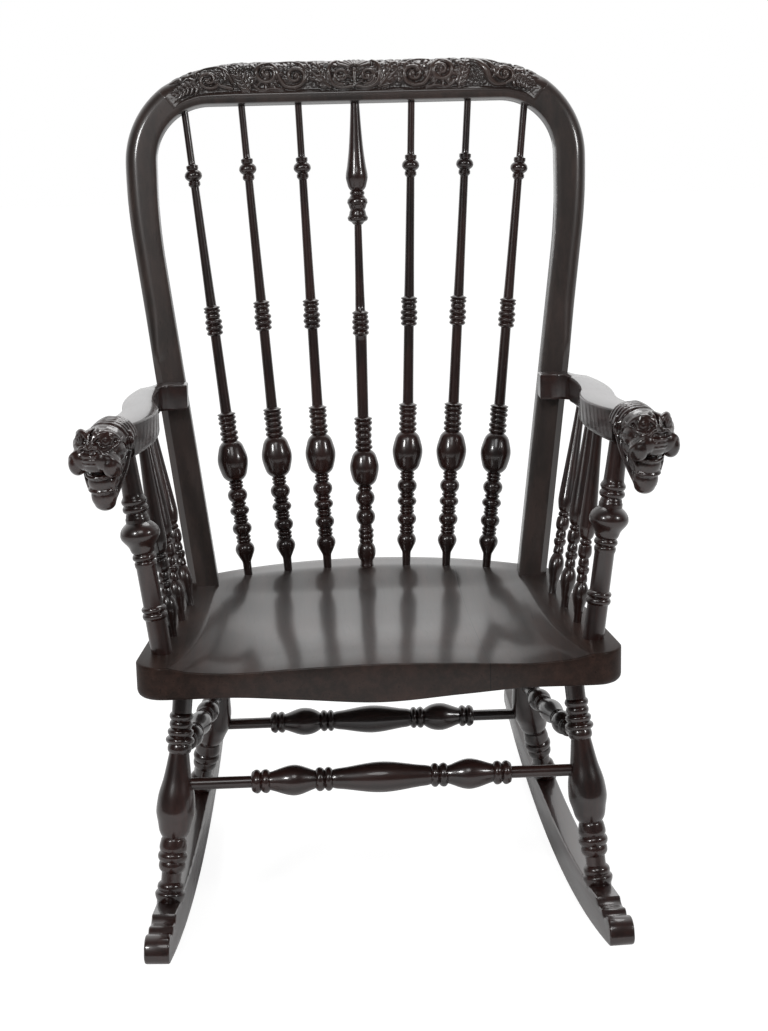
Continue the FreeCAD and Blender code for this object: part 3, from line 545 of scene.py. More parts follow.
@dataclass
class Bench:
    """The maker's frames: the seat leans in the floor's frame, and the hoop leans on the seat."""

    tilt: float = 3.8
    seat_height: float = 380.3
    seat_setback: float = -258.0
    back_lean: float = 9.8
    hoop_foot_y: float = 368.6
    rocker_radius: float = 1330.0
    rocker_depth: float = 43.0
    rocker_half_spread: float = 250.5
    rocker_toe: float = 3.4
    balance_setback: float = 6.5

    def __post_init__(self) -> None:
        """Works out both frames."""
        self.seat = (Matrix.Translation(Vector((0, self.seat_setback, self.seat_height)) * MM)
                     @ Matrix.Rotation(math.radians(-self.tilt), 4, "X"))
        self.hoop = (self.seat @ Matrix.Translation((0, self.hoop_foot_y * MM, 0))
                     @ Matrix.Rotation(math.radians(-self.back_lean), 4, "X"))

    def on_seat(self, x: float, y: float, z: float) -> Vector:
        """Point of the seat's frame, given in millimetres, in the floor frame in metres."""
        return self.seat @ Vector((x * MM, y * MM, z * MM))

    def on_hoop(self, x: float, depth: float, s: float) -> Vector:
        """Point of the hoop's plane: across, behind its middle and along it, in millimetres."""
        return self.hoop @ Vector((x * MM, depth * MM, s * MM))

    def rocker_top(self, side: int, reach: float) -> Vector:
        """Point on the rocker's upper edge, a reach behind its lowest point."""
        angle = math.asin(reach / self.rocker_radius)
        inner = self.rocker_radius - self.rocker_depth
        turn = math.radians(side * self.rocker_toe)
        along = inner * math.sin(angle)
        return Vector((side * self.rocker_half_spread - math.sin(turn) * along,
                       self.balance_setback + math.cos(turn) * along,
                       self.rocker_radius - inner * math.cos(angle))) * MM


@dataclass
class Hoop:
    """Outlines of the bent hoop in its own plane, in millimetres."""

    height: float = 697.0
    half_width: float = 309.2
    flare: float = 7.4
    sweep_radius: float = 800.0
    widest_share: float = 0.811
    side_share: float = 0.95
    crown_radius: float = 292.0
    inner_radius: float = 72.0
    thickness: float = 32.0
    post_width: float = 38.5
    bow_width: float = 42.0
    crest_width: float = 56.0
    round_radius: float = 18.0
    bevel: float = 9.0
    stop_height: float = 300.0
    stop_length: float = 66.0
    foot: float = -8.0
    width_range: tuple[float, float] = (20.0, 90.0)
    halvings: int = 22

    def underside(self, x: float) -> float:
        """Height of the crest's lower edge above a place across."""
        straight = self.half_width - self.bow_width - self.inner_radius
        beyond = max(abs(x) - straight, 0.0)
        return (self.height - self.crest_width - self.inner_radius
                + math.sqrt(self.inner_radius ** 2 - beyond ** 2))

    def edge_at(self, inset: float, s: float) -> float:
        """Half width to a line parallel to the straight side."""
        flare = math.radians(self.flare)
        below = self.widest_share * self.height - self.sweep_radius * math.sin(flare) - s
        return (self.half_width - self.sweep_radius * (1 - math.cos(flare))
                - math.tan(flare) * below - inset)

    def outer(self, pitch: float) -> list[tuple[Vector, Vector]]:
        """Right-hand outer edge from the foot to the middle of the crest.

        Args:
            pitch: distance between points.

        Returns:
            Points and the directions inward from them, in the hoop's plane.
        """
        flare, sweep = math.radians(self.flare), self.sweep_radius
        widest = self.widest_share * self.height
        top = widest - sweep * math.sin(flare)
        count = int((top - self.foot) / (pitch * 1.5))
        inward = Vector((-math.cos(flare), math.sin(flare)))
        heights = [self.foot + (top - self.foot) * k / count for k in range(count)]
        path = [(Vector((self.edge_at(0, s), s)), inward.copy()) for s in heights]
        crown, rise = self.crown_radius, self.height - widest
        side = self.side_share * rise
        turn = math.asin((crown - rise) / (crown - side))
        hub = Vector((self.half_width - side * (1 - math.cos(turn)) - crown * math.cos(turn),
                      self.height - crown))
        for centre, radius, start, end in (
                (Vector((self.half_width - sweep, widest)), sweep, -flare, 0.0),
                (Vector((self.half_width - side, widest)), side, 0.0, turn),
                (hub, crown, turn, QUARTER)):
            steps = max(int(abs(end - start) * radius / pitch), 2)
            for angle in (start + (end - start) * k / steps for k in range(steps)):
                way = Vector((math.cos(angle), math.sin(angle)))
                path.append((centre + way * radius, way * -1))
        count = int(hub.x / pitch)
        return path + [(Vector((hub.x * (1 - k / count), self.height)), Vector((0, -1)))
                       for k in range(count + 1)]

    def width_from(self, point: Vector, inward: Vector) -> float:
        """Distance from the outer edge to the inner edge along the way inward."""
        low, high = self.width_range
        for _ in range(self.halvings):
            middle = (low + high) / 2
            if self.inside(point + inward * middle):
                high = middle
            else:
                low = middle
        return (low + high) / 2

    def inside(self, probe: Vector) -> bool:
        """Whether a place of the hoop's plane lies in the opening."""
        flare, sweep = math.radians(self.flare), self.sweep_radius
        wide = self.half_width - self.bow_width
        start = self.edge_at(self.post_width, 0)
        widest = (wide - sweep * (1 - math.cos(flare)) - start) / math.tan(flare)
        widest += sweep * math.sin(flare)
        x, s = abs(probe.x), probe.y
        if s > self.underside(min(x, wide)):
            return False
        if s >= widest:
            return x < wide
        if s > widest - sweep * math.sin(flare):
            return x < wide - sweep + math.sqrt(max(sweep ** 2 - (widest - s) ** 2, 0))
        return x < self.edge_at(self.post_width, s)


@dataclass
class ArmLine:
    """The arm's plan and side view in the seat's frame, in millimetres."""

    bench: Bench
    hoop: Hoop
    height: float = 238.6
    rise: float = 2.06
    thickness: float = 34.0
    drop: float = 10.0
    drop_shares: tuple[float, float] = (0.567, 1.079)
    drop_curve: tuple[float, float] = (0.18, 0.82)
    lap: float = 26.0
    length: float = 328.0
    half_spread: float = 288.0
    lap_share: float = 0.061
    face_gap: float = 0.1

    def __post_init__(self) -> None:
        """Works out where the arm starts in front of the hoop's post."""
        lean = math.radians(self.bench.back_lean)
        up = self.height / math.cos(lean)
        self.inside = self.hoop.edge_at(self.hoop.post_width, up)
        front = -self.hoop.thickness / 2 * math.cos(lean) + up * math.sin(lean)
        self.root = self.bench.hoop_foot_y + front - self.lap + self.lap_share * self.length

    def place(self, out: float, along: float) -> Vector:
        """Plan point of the right-hand arm from its shares out and forward."""
        return Vector((self.inside + out * (self.half_spread - self.inside),
                       self.root - along * self.length))

    def underside(self, y: float) -> float:
        """Height of the plain underside at a place back."""
        return self.height + math.tan(math.radians(self.rise)) * (self.root - y)

    def low(self, y: float) -> float:
        """Height of the underside, which deepens towards the front."""
        start, end = self.drop_shares
        ahead = max((self.root - y) / self.length - start, 0.0) / (end - start)
        slow, quick = self.drop_curve
        return self.underside(y) - self.drop * (slow * ahead + quick * ahead ** 2)

    def high(self, y: float) -> float:
        """Height of the top."""
        return self.underside(y) + self.thickness

    def hoop_face(self, z: float) -> float:
        """Place back of the hoop's front face at a height."""
        lean = math.radians(self.bench.back_lean)
        return (self.bench.hoop_foot_y + z * math.tan(lean)
                - (self.hoop.thickness / 2 + self.face_gap) / math.cos(lean))


# ---- turned pieces ---------------------------------------------------------------------------


@dataclass
class Turnings:
    """Every lathe-turned piece: its pattern and the line that it stands on."""

    bench: Bench
    hoop: Hoop
    arm: ArmLine
    finish: Material
    rail_finish: Material
    side_finish: Material
    back_foot_pitch: float = 54.9
    back_head_pitch: float = 76.0
    back_row: float = 434.0
    back_row_radius: float = 500.0
    back: tuple = (
        (0, 5.6), (17, 6.0), (23.9, 9.0), (35, 13.2), (45, 8.4), (47.5, 10.0), (50, 8.4),
        (53, 10.2), (56, 7.8), (65, 13.2), (73.5, 8.0), (76, 10.2), (78.5, 8.4), (81, 9.8),
        (83, 7.8), (90, 13.2), (97, 8.0), (99.5, 10.4), (102, 8.2), (112, 13.4), (121.5, 7.6),
        (124, 9.8), (126.5, 7.8), (129, 10.0), (131.5, 8.0), (145, 18), (160.4, 20.7), (175, 17.9),
        (188, 9.6), (191.5, 12.2), (195, 9.4), (199, 12.4), (202.5, 9.4), (206.5, 11.2),
        (210, 9.4), (213.5, 12.4), (217, 9.8), (220.5, 12.2), (223, 10.2), (225.5, 12.6),
        (228, 7.4), (334, 6.7), (337.5, 10.9), (341, 8.8), (345, 11.6), (349, 9.0), (353, 11.6),
        (357, 8.4), (361, 10.0), (364.5, 8.4), (367.5, 11.2), (370, 9.2), (372.6, 11.2),
        (375, 6.8), (536.5, 5.4), (539, 8.0), (543, 8.0), (545, 6.8), (552.3, 11.7), (559.5, 6.8),
        (561.5, 8.0), (565.5, 8.0), (568, 4.9), (637.6, 4.7))
    centre: tuple = (
        (0, 9.8), (4, 8.8), (7, 8.6), (19.8, 12.8), (32, 8.6), (35, 9.8), (38, 8.4), (42, 10.6),
        (46, 9.0), (50, 10.8), (54, 8.4), (58, 8.0), (69, 13.2), (80, 8.0), (82.5, 9.6), (85, 7.8),
        (96, 13.2), (106.5, 7.8), (109.5, 10.2), (112.5, 7.6), (126, 17.8), (139, 20.0),
        (152, 17.4), (164, 9.0), (167.5, 12.2), (171, 9.4), (175, 11.4), (179, 9.2), (184, 11.2),
        (188.5, 9.2), (193, 11.8), (197.5, 9.6), (202, 12.4), (205, 10.0), (207.5, 12.4),
        (210, 7.6), (322.4, 8.0), (326, 11.2), (330, 9.0), (334, 11.6), (338, 9.2), (342, 11.6),
        (345.5, 9.2), (348.5, 10.6), (351.5, 9.0), (354.5, 11.2), (357.5, 6.8), (474, 4.9),
        (477.5, 8.6), (480, 12.8), (484, 13.8), (487, 12.0), (494.5, 9.6), (501, 12.2),
        (504, 13.8), (508, 13.2), (511, 10.6), (514, 8.6), (517, 10.0), (520, 8.2), (530, 13.2),
        (539.5, 14.9), (553, 12.8), (575, 10.0), (600, 8.0), (638, 5.8))
    post: tuple = (
        (0, 12.8), (41, 12.7), (45.7, 15.2), (50, 12.7), (53.9, 15.1), (57.7, 12.1), (104, 12.1),
        (109.4, 13.3), (113, 11.4), (116.9, 14.4), (121.8, 12), (126.9, 15), (129.4, 15.6),
        (144.3, 24), (159.2, 14.4), (164.2, 14.4), (170.4, 12), (175.3, 15.6), (180.2, 13.2),
        (185.2, 15.5), (191.4, 12.5), (242.8, 11.3))
    arm_spindle: tuple = (
        (0, 5), (10.6, 5), (19.7, 6.9), (35, 10), (50.6, 5.6), (53, 6.9), (60.8, 5.6), (67.2, 8.1),
        (71, 5.6), (74.2, 6.9), (81.2, 5.6), (88.9, 8.7), (96.6, 8.1), (99, 5.6), (101.6, 7.5),
        (105.4, 5.6), (113, 9.3), (122, 10.6), (153.7, 9.3), (229, 6.2), (250, 5.6))
    leg: tuple = (
        (0, 16), (9, 18.8), (14, 15.4), (17.9, 16.5), (25.4, 12.3), (36.7, 12.3), (44.9, 16.5),
        (50.5, 15.4), (56.8, 18.2), (63, 15.4), (68, 17), (75.6, 16), (80.7, 14.1), (99.4, 20.9),
        (114.4, 23.8), (130.6, 22.7), (155.6, 17.2), (186.7, 12.3), (191.8, 14.7), (197.9, 13.5),
        (202.9, 17.6), (208, 13.5), (213.5, 15.9), (217.9, 12.2), (222.8, 14.1), (227.8, 12.2),
        (232.8, 14.7), (237.7, 12.2), (278, 12.2))
    rail: tuple = (
        (0, 7.4), (82.9, 8.3), (84.9, 12.3), (90.2, 14.7), (94.9, 11.1), (101.2, 14.7),
        (105.9, 11.1), (135.6, 18.8), (161.5, 11.1), (166.4, 14.8), (172.5, 11.1), (177.4, 14.8),
        (182.3, 11.1), (196.9, 13.5), (242.4, 18.8))
    legs: dict = field(default_factory=lambda: {
        "front": (238.5, 82.5, -258.0), "rear": (186.0, 324.0, 113.5)})
    leg_top: float = -42.0
    rail_inset: float = 7.0
    support_tops: tuple = ((1.13, 0.933), (0.86, 0.720), (0.96, 0.430), (0.98, 0.145))
    crisp: float = 42.0
    support_row: tuple[float, float] = (65.0, 67.0)
    support_insets: tuple[float, float] = (22.5, 25.5)
    plank: tuple[float, float, float] = (291.5, 252.0, 372.0)
    rails: tuple = (
        ("front_stretcher", (-1, "front", 0.528), (1, "front", 0.528), 1.0),
        ("rear_stretcher", (-1, "rear", 0.39), (1, "rear", 0.39), 1.0),
        ("left_stretcher", (-1, "front", 0.666), (-1, "rear", 0.56), 0.8),
        ("right_stretcher", (1, "front", 0.666), (1, "rear", 0.56), 0.8))

    def build(self) -> None:
        """Turns every spindle, post, leg and stretcher."""
        for step in range(-3, 4):
            pattern = self.back if step else self.centre
            self.turn(f"back_spindle_{step + 4}", pattern, self.finish, *self.back_line(step))
        for name, side in SIDES:
            for index in range(4):
                label = f"{name}_arm_spindle_{index}" if index else f"{name}_front_arm_post"
                pattern = self.arm_spindle if index else self.post
                self.turn(label, pattern, self.finish, *self.support_line(side, index))
            for which in self.legs:
                self.turn(f"{name}_{which}_leg", self.leg, self.finish,
                          *self.leg_line(side, which), tenon=5.0, steps=40)
        for label, start, end, spread in self.rails:
            one, two = self.on_leg(*start), self.on_leg(*end)
            inset = (two - one).normalized() * self.rail_inset * MM
            finish = self.side_finish if spread < 1 else self.rail_finish
            self.turn(label, self.rail_pattern(spread), finish, one + inset, two - inset, tenon=0.0)

    def turn(self, label: str, pattern: Sequence[tuple[float, float]], finish: Material,
             foot: Vector, head: Vector, tenon: float = 8.0, steps: int = 32) -> None:
        """Turns one piece that stands for the solid of the same name.

        Args:
            label: the solid's name.
            pattern: heights and radii; the heights are stretched to fit.
            finish: its finish.
            foot: lower shoulder, in metres.
            head: upper shoulder, in metres.
            tenon: how far the plain tenons reach past the shoulders, in millimetres.
            steps: faces round it.
        """
        length = (head - foot).length / MM
        scale = length / pattern[-1][0]
        fine = eased([(h * scale, r) for h, r in pattern])
        if tenon:
            fine = [(-tenon, fine[0][1]), *fine, (length + tenon, fine[-1][1])]
        bm = bmesh.new()
        spun(bm, fine, foot, head, steps)
        add_piece(bm, f"turned_{label}", finish, (label,), self.crisp)

    def rail_pattern(self, spread: float) -> list[tuple[float, float]]:
        """Whole stretcher out of its half, with its bulges spread."""
        half = [(h, self.rail[0][1] if i < 2 else r * spread) for i, (h, r) in enumerate(self.rail)]
        whole = 2 * self.rail[-1][0]
        return half + [(whole - h, r) for h, r in reversed(half[:-1])]

    def back_line(self, step: int) -> tuple[Vector, Vector]:
        """Foot and head of a back spindle, counted from the middle one."""
        x = step * self.back_foot_pitch
        foot = self.bench.on_seat(x, self.back_row - x ** 2 / (2 * self.back_row_radius), 0)
        x = step * self.back_head_pitch
        return foot, self.bench.on_hoop(x, 0, self.hoop.underside(x))

    def support_line(self, side: int, index: int) -> tuple[Vector, Vector]:
        """Foot and head of the front post (0) or of a spindle under the arm."""
        front, rear, shoulder = self.plank
        y = self.support_row[0] + self.support_row[1] * index
        x = front - (front - rear) / shoulder * y - self.support_insets[index > 0]
        foot = self.bench.on_seat(side * x, y, 0)
        top = self.arm.place(*self.support_tops[index])
        height = self.arm.underside(top.y) if index else self.arm.low(top.y)
        return foot, self.bench.on_seat(side * top.x, top.y, height)

    def leg_line(self, side: int, which: str) -> tuple[Vector, Vector]:
        """Foot on the rocker and head under the seat of one leg."""
        x, y, reach = self.legs[which]
        return self.bench.rocker_top(side, reach), self.bench.on_seat(side * x, y, self.leg_top)

    def on_leg(self, side: int, which: str, share: float) -> Vector:
        """Point on a leg, as a share from its foot."""
        foot, head = self.leg_line(side, which)
        return foot.lerp(head, share)


# ---- sawn and shaped pieces ------------------------------------------------------------------


@dataclass
class SeatPlank:
    """Saddled plank seat, in millimetres in the seat's frame."""

    bench: Bench
    finish: Material
    half: float = 291.5
    rear: float = 252.0
    depth: float = 477.0
    shoulder: float = 372.0
    corner: float = 38.0
    rear_corner: float = 24.0
    thickness: float = 42.0
    apron: float = 52.0
    apron_run: float = 58.0
    apron_step: float = 4.0
    apron_places: tuple = (0.0, 0.34, 0.64, 0.85, 1.1)
    apron_shares: tuple = (1.0, 0.87, 0.765, 0.80, 0.93)
    back_turn: tuple = ((0.15, 0.75), (0.80, 1.30))
    back_bow: tuple[float, float] = (0.5, 0.235)
    ridge_depth: float = 0.895
    ridge_bow: float = 0.10
    waist: float = 208.0
    flare: float = 44.0
    flare_run: float = 0.25
    scoop: float = 20.0
    edge: float = 2.6
    tuck: float = 60.0
    lower_radius: float = 3.0
    corner_radius: float = 11.0
    corner_reach: float = 55.0
    crisp: float = 24.0
    shoulder_gap: float = 4.0
    front_stops: tuple = (180, 90, 0, -90, -180)
    front_overlap: float = 0.4
    columns: int = 72
    column_crowding: float = 1.25
    near_rows: tuple = (0.0, 0.004, 0.010, 0.018, 0.028, 0.040, 0.055, 0.074, 0.096, 0.12, 0.145)
    far_rows: int = 40
    rim_rows: int = 4
    merge: tuple[float, float] = (0.02, 0.01)
    saddle_rows: tuple = (
        (0.0, (0.16, 0.27, 0.45, 0.29, 0.0)), (0.20, (0.50, 0.58, 0.68, 0.36, 0.0)),
        (0.55, (1.00, 1.00, 0.85, 0.34, 0.0)), (0.85, (0.80, 0.76, 0.56, 0.25, 0.0)),
        (1.00, (0.0, 0.0, 0.0, 0.0, 0.0)))
    saddle_places: tuple = (0.0, 0.35, 0.70, 0.90, 1.0)

    def __post_init__(self) -> None:
        """Sets the shares back of the grid's rows, close together near the front corner."""
        start, count = self.near_rows[-1], self.far_rows
        far = [start + (1 - start) * k / count for k in range(1, count + 1)]
        self.rows = [*self.near_rows, *far]

    def dish(self, share: float, along: float) -> float:
        """Height of the saddle at a share across and a share back."""
        row = [curve_at(self.saddle_places, values, abs(share)) for _, values in self.saddle_rows]
        return -self.scoop * curve_at([place for place, _ in self.saddle_rows], row, along)

    def ridge(self, share: float, along: float) -> Vector:
        """Plan point of the saddle at a share across and a share back."""
        width = self.waist + self.flare * math.exp(-along / self.flare_run)
        back = self.depth * (self.ridge_depth - self.ridge_bow * share ** 2)
        first = self.edge if along <= 0 else 0.0
        return Vector((share * width, max(along * back, first)))

    def top_point(self, u: float, v: float) -> Vector:
        """Point of the dished top for two shares of its grid, crowded towards the ridges."""
        t = 2 * u - 1
        share = math.copysign(1 - (1 - abs(t)) ** self.column_crowding, t) if abs(t) < 1 else t
        along = self.rows[round(v * (len(self.rows) - 1))]
        return Vector((*self.ridge(share, along), self.dish(share, along)))

    def side_at(self, y: float) -> float:
        """Half width of the plank at a place back, short of the rear corner."""
        if y < self.corner:
            reach = math.sqrt(max(self.corner ** 2 - (self.corner - y) ** 2, 0))
            return self.half - self.corner + reach
        run = self.shoulder - self.corner
        return self.half + (self.rear - self.half) * (y - self.corner) / run

    def outline(self) -> list[Vector]:
        """Outer edge from the left front round the back, with a point for each of the ridge's."""
        last = self.ridge(1.0, 1.0).y
        side = [Vector((self.side_at(share * last), share * last)) for share in self.rows]
        side = [p for p in side if p.y <= self.shoulder - self.shoulder_gap]
        size = self.rear_corner
        turn, end = ((self.rear - size * x, self.shoulder + size * y) for x, y in self.back_turn)
        bow = (end[0] * self.back_bow[0], self.depth - (self.depth - end[1]) * self.back_bow[1])
        middle = (0, self.depth)
        curve = run_through((self.rear, self.shoulder), ((12, turn, end), (40, bow, middle)))
        curve.append(Vector(middle))
        steps = np.cumsum([0.0] + [(two - one).length for one, two in zip(curve, curve[1:])])
        count = len(self.rows) - len(side) + self.columns // 2
        for want in np.linspace(0.0, steps[-1], count):
            i = min(max(int(np.searchsorted(steps, want)) - 1, 0), len(curve) - 2)
            share = (want - steps[i]) / (steps[i + 1] - steps[i])
            side.append(curve[i].lerp(curve[i + 1], share))
        return [Vector((-p.x, p.y)) for p in side] + side[-2::-1]

    def underside(self, x: float, y: float) -> float:
        """Height of the plank's underside, deeper over the serpentine front edge."""
        share = min(abs(x) / self.half, self.apron_places[-1])
        low = -self.apron * curve_at(self.apron_places, self.apron_shares, share)
        if y < self.apron_run:
            return low
        return low + (-self.thickness - low) * min((y - self.apron_run) / self.apron_step, 1.0)

    def lower_ease(self, x: float, y: float) -> float:
        """Radius of the lower edge, large under the front corners."""
        away = math.hypot(self.half - abs(x), y)
        return self.lower_radius + self.corner_radius * math.exp(-(away / self.corner_reach) ** 2)

    def top(self, bm: Mesh) -> None:
        """Adds the dished saddle and the flat rim round it."""
        count, last = self.columns, len(self.rows) - 1
        mapped_grid(bm, count, last, self.top_point)
        ridge = [self.top_point(0, k / last) for k in range(last)]
        ridge += [self.top_point(k / count, 1) for k in range(count)]
        ridge += [self.top_point(1, k / last) for k in range(last, -1, -1)]
        edge = self.outline()
        closed = edge + [Vector((x, 0)) for x in self.front_stops]
        ways = outward(anticlockwise(closed))
        if anticlockwise(closed) is not closed:
            ways = ways[::-1]
        inset = [(point - way * self.edge).to_3d() for point, way in zip(edge, ways)]
        front = self.side_at(0) + self.front_overlap
        inset[0], inset[-1] = Vector((-front, self.edge, 0)), Vector((front, self.edge, 0))
        pairs, span = list(zip(ridge, inset)), len(ridge) - 1
        mapped_grid(bm, span, self.rim_rows,
                    lambda u, v: Vector.lerp(*pairs[round(u * span)], v))
        bmesh.ops.remove_doubles(bm, verts=bm.verts, dist=self.merge[0])

    def build(self) -> None:
        """Builds the plank: dished top, flat rim, eased edges and underside."""
        bm = bmesh.new()
        self.top(bm)
        rim = self.loop(bm)
        plan = [vert.co.to_2d() for vert in rim]
        ways = outward(plan)
        radii = [self.lower_ease(p.x, p.y) for p in plan]
        outer = [p + w * self.edge for p, w in zip(plan, ways)]
        levels = [[Vector((*(p + w * self.edge * s), vert.co.z - self.edge * (1 - c)))
                   for p, w, vert in zip(plan, ways, rim)] for c, s in quarter_turn(4)[1:]]
        levels += [[Vector((*(p - w * r * (1 - c)), self.underside(p.x, p.y) + r * (1 - s)))
                    for p, w, r in zip(outer, ways, radii)] for c, s in quarter_turn(5)]
        originals = list(bm.verts)
        copied = bmesh.ops.duplicate(bm, geom=bm.verts[:] + bm.edges[:] + bm.faces[:])["vert_map"]
        below = {vert: copied[vert] for vert in originals}
        spots = np.array([spot[:] for spot in outer])
        for above, under in below.items():
            x, y = above.co.x, above.co.y
            gaps = np.hypot(spots[:, 0] - x, spots[:, 1] - y)
            near = int(np.argmin(gaps))
            shift = radii[near] * max(1 - gaps[near] / self.tuck, 0)
            under.co = Vector((x - ways[near].x * shift, y - ways[near].y * shift,
                               self.underside(x, y)))
        for vert, spot in zip(rim, levels[-1]):
            below[vert].co = spot
        for level in levels:
            rim = self.grow(bm, rim, level)
        bmesh.ops.remove_doubles(bm, verts=bm.verts, dist=self.merge[1])
        bm.transform(self.bench.seat @ Matrix.Scale(MM, 4))
        add_piece(bm, "saddled_seat", self.finish, ("seat",), self.crisp)

    @staticmethod
    def loop(bm: Mesh) -> list[Vert]:
        """Boundary corners in order, walked anticlockwise seen from above."""
        edges = {e for e in bm.edges if e.is_boundary}
        order = list(next(iter(edges)).verts)
        while True:
            onward = next(e.other_vert(order[-1]) for e in order[-1].link_edges
                          if e in edges and e.other_vert(order[-1]) is not order[-2])
            if onward is order[0]:
                break
            order.append(onward)
        area = sum(a.co.x * b.co.y - b.co.x * a.co.y for a, b in zip(order, order[1:] + order[:1]))
        return order if area > 0 else order[::-1]

    @staticmethod
    def grow(bm: Mesh, loop: list[Vert], spots: list[Vector]) -> list[Vert]:
        """Extrudes a closed loop of corners to new spots and gives the new loop."""
        edges = [e for vert, after in zip(loop, loop[1:] + loop[:1])
                 for e in vert.link_edges if e.other_vert(vert) is after]
        made = bmesh.ops.extrude_edge_only(bm, edges=edges)["geom"]
        fresh = {item for item in made if isinstance(item, Vert)}
        onward = []
        for vert, spot in zip(loop, spots):
            other = next(e.other_vert(vert) for e in vert.link_edges if e.other_vert(vert) in fresh)
            other.co = spot
            onward.append(other)
        return onward


@dataclass
class Rockers:
    """The two sawn runners, in millimetres in their own upright frames."""

    bench: Bench
    finish: Material
    length: float = 765.0
    width: float = 30.0
    nose: float = 74.0
    tail: float = 27.0
    ease: float = 2.6
    crisp: float = 30.0
    nose_steps: tuple = (
        ((1, 1),), ((0.93, 0.86), (0.84, 0.80)), ((0.70, 0.80),), ((0.63, 0.83), (0.57, 0.76)),
        ((0.48, 0.65), (0.38, 0.70)), ((0.084, 0.66), (0.008, 0.36)), ((0.042, 0.10), (0.19, 0.0)))

    def __post_init__(self) -> None:
        """Works out where the runner's two ends are along its arc."""
        toe = math.cos(math.radians(self.bench.rocker_toe))
        self.front = -(self.length / 2 + self.bench.balance_setback) / toe
        self.back = (self.length / 2 - self.bench.balance_setback) / toe

    def at(self, along: float, height: float) -> Vector:
        """Point at a height above the lower edge."""
        radius = self.bench.rocker_radius
        angle, inner = math.asin(along / radius), radius - height
        return Vector((inner * math.sin(angle), radius - inner * math.cos(angle)))

    def at_nose(self, along: float, up: float) -> Vector:
        """Point of the stepped nose, in shares of its length and of the runner's depth."""
        return self.at(self.front + self.nose * along, self.bench.rocker_depth * up)

    def at_tail(self, along: float, up: float) -> Vector:
        """Point of the rounded tail, in shares of its depth."""
        return self.at(self.back - self.tail * along, self.tail * up)

    def outline(self) -> list[Vector]:
        """Side view of the runner."""
        steps = [[self.at_nose(*point) for point in step] for step in self.nose_steps]
        heel, top = self.at_tail(0.45, 0.0), self.at_tail(0.45, 1.0)
        crown = self.at(self.back * 0.25, self.bench.rocker_depth)
        return run_through(steps[-1][-1], [
            (70, self.at(0, 0), heel), (14, self.at_tail(0.05, 0.45), top), (70, crown, *steps[0]),
            *((3 if len(step) == 1 else 7, *step) for step in steps[1:])])

    def rings(self) -> list[list[Vector]]:
        """Closed rings from one face over its eased edges to the other face."""
        points = anticlockwise(self.outline())
        ways = outward(points)
        half, turns = self.width / 2, quarter_turn(3)
        levels = [(1 - s, half - self.ease * (1 - c)) for c, s in turns]
        levels += [(1 - c, self.ease * (1 - s) - half) for c, s in turns]
        return [[Vector((*(p - w * (self.ease * inset)), z)) for p, w in zip(points, ways)]
                for inset, z in levels]

    def build(self) -> None:
        """Builds both runners."""
        rings = self.rings()
        for name, side in SIDES:
            stand = (Matrix.Translation(Vector((side * self.bench.rocker_half_spread,
                                                self.bench.balance_setback, 0)) * MM)
                     @ Matrix.Rotation(math.radians(side * self.bench.rocker_toe), 4, "Z"))
            upright = stand @ Matrix(((0, 0, 1, 0), (1, 0, 0, 0), (0, 1, 0, 0), (0, 0, 0, 1)))
            bm = bmesh.new()
            bridge_all(bm, placed(rings, upright))
            add_piece(bm, f"{name}_sawn_rocker", self.finish, (f"{name}_rocker",), self.crisp)


@dataclass
class Arms:
    """The two swept arms, in millimetres in the seat's frame.

    Their edges in plan are a start and then runs of points, in shares out and forward.
    """

    bench: Bench
    arm: ArmLine
    finish: Material
    crisp: float = 32.0
    upper: float = 2.4
    lower: tuple[float, float] = (4.0, 4.0)
    inner: tuple = ((0, -0.061), (
        (8, (0, 0.061)), (5, (0.30, 0.061)), (10, (0.54, 0.072), (0.66, 0.160)),
        (14, (0.70, 0.330), (0.607, 0.527)), (22, (0.46, 0.786), (0.862, 1.028))))
    outer: tuple = ((0.794, -0.061), (
        (6, (0.794, -0.041)), (17, (0.80, -0.005), (1.15, 0.112)),
        (14, (1.36, 0.356), (1.33, 0.620)), (22, (1.35, 0.810), (1.66, 0.976))))

    def chain(self, start: tuple, runs: tuple) -> list[Vector]:
        """One edge in plan, from the back to the head."""
        place = self.arm.place
        stops = [(count, *(place(*spot) for spot in spots)) for count, *spots in runs]
        return run_through(place(*start), stops) + [stops[-1][-1]]

    def corner(self, base: Vector, way: Vector, radius: float, low: bool) -> list[Vector]:
        """Rounded edge of a section.

        Args:
            base: the sharp corner in plan.
            way: direction across the arm, away from the corner.
            radius: the edge's radius.
            low: whether it is a lower edge.

        Returns:
            Its points, from the side face on.
        """
        points = []
        for c, s in quarter_turn(4):
            spot = base + way * radius - way * radius * c
            z = (self.arm.low(spot.y) + radius - radius * s if low
                 else self.arm.high(spot.y) - radius + radius * s)
            points.append(Vector((spot.x, spot.y, z)))
        return points

    def build(self) -> None:
        """Builds both arms."""
        inner, outer = self.chain(*self.inner), self.chain(*self.outer)
        for name, side in SIDES:
            sections = []
            for k, (one, two) in enumerate(zip(inner, outer)):
                way = (two - one).normalized()
                swell = min(max((k / (len(inner) - 1) - 0.3) / 0.4, 0), 1)
                lower = self.lower[0] + self.lower[1] * swell
                section = (self.corner(one, way, self.upper, False)
                           + self.corner(two, -way, self.upper, False)[::-1]
                           + self.corner(two, -way, lower, True)
                           + self.corner(one, way, lower, True)[::-1])
                for spot in section:
                    spot.y = min(spot.y, self.arm.hoop_face(spot.z))
                    spot.x *= side
                sections.append(section)
            bm = bmesh.new()
            bridge_all(bm, placed(sections, self.bench.seat))
            add_piece(bm, f"{name}_swept_arm", self.finish, (f"{name}_arm",), self.crisp)


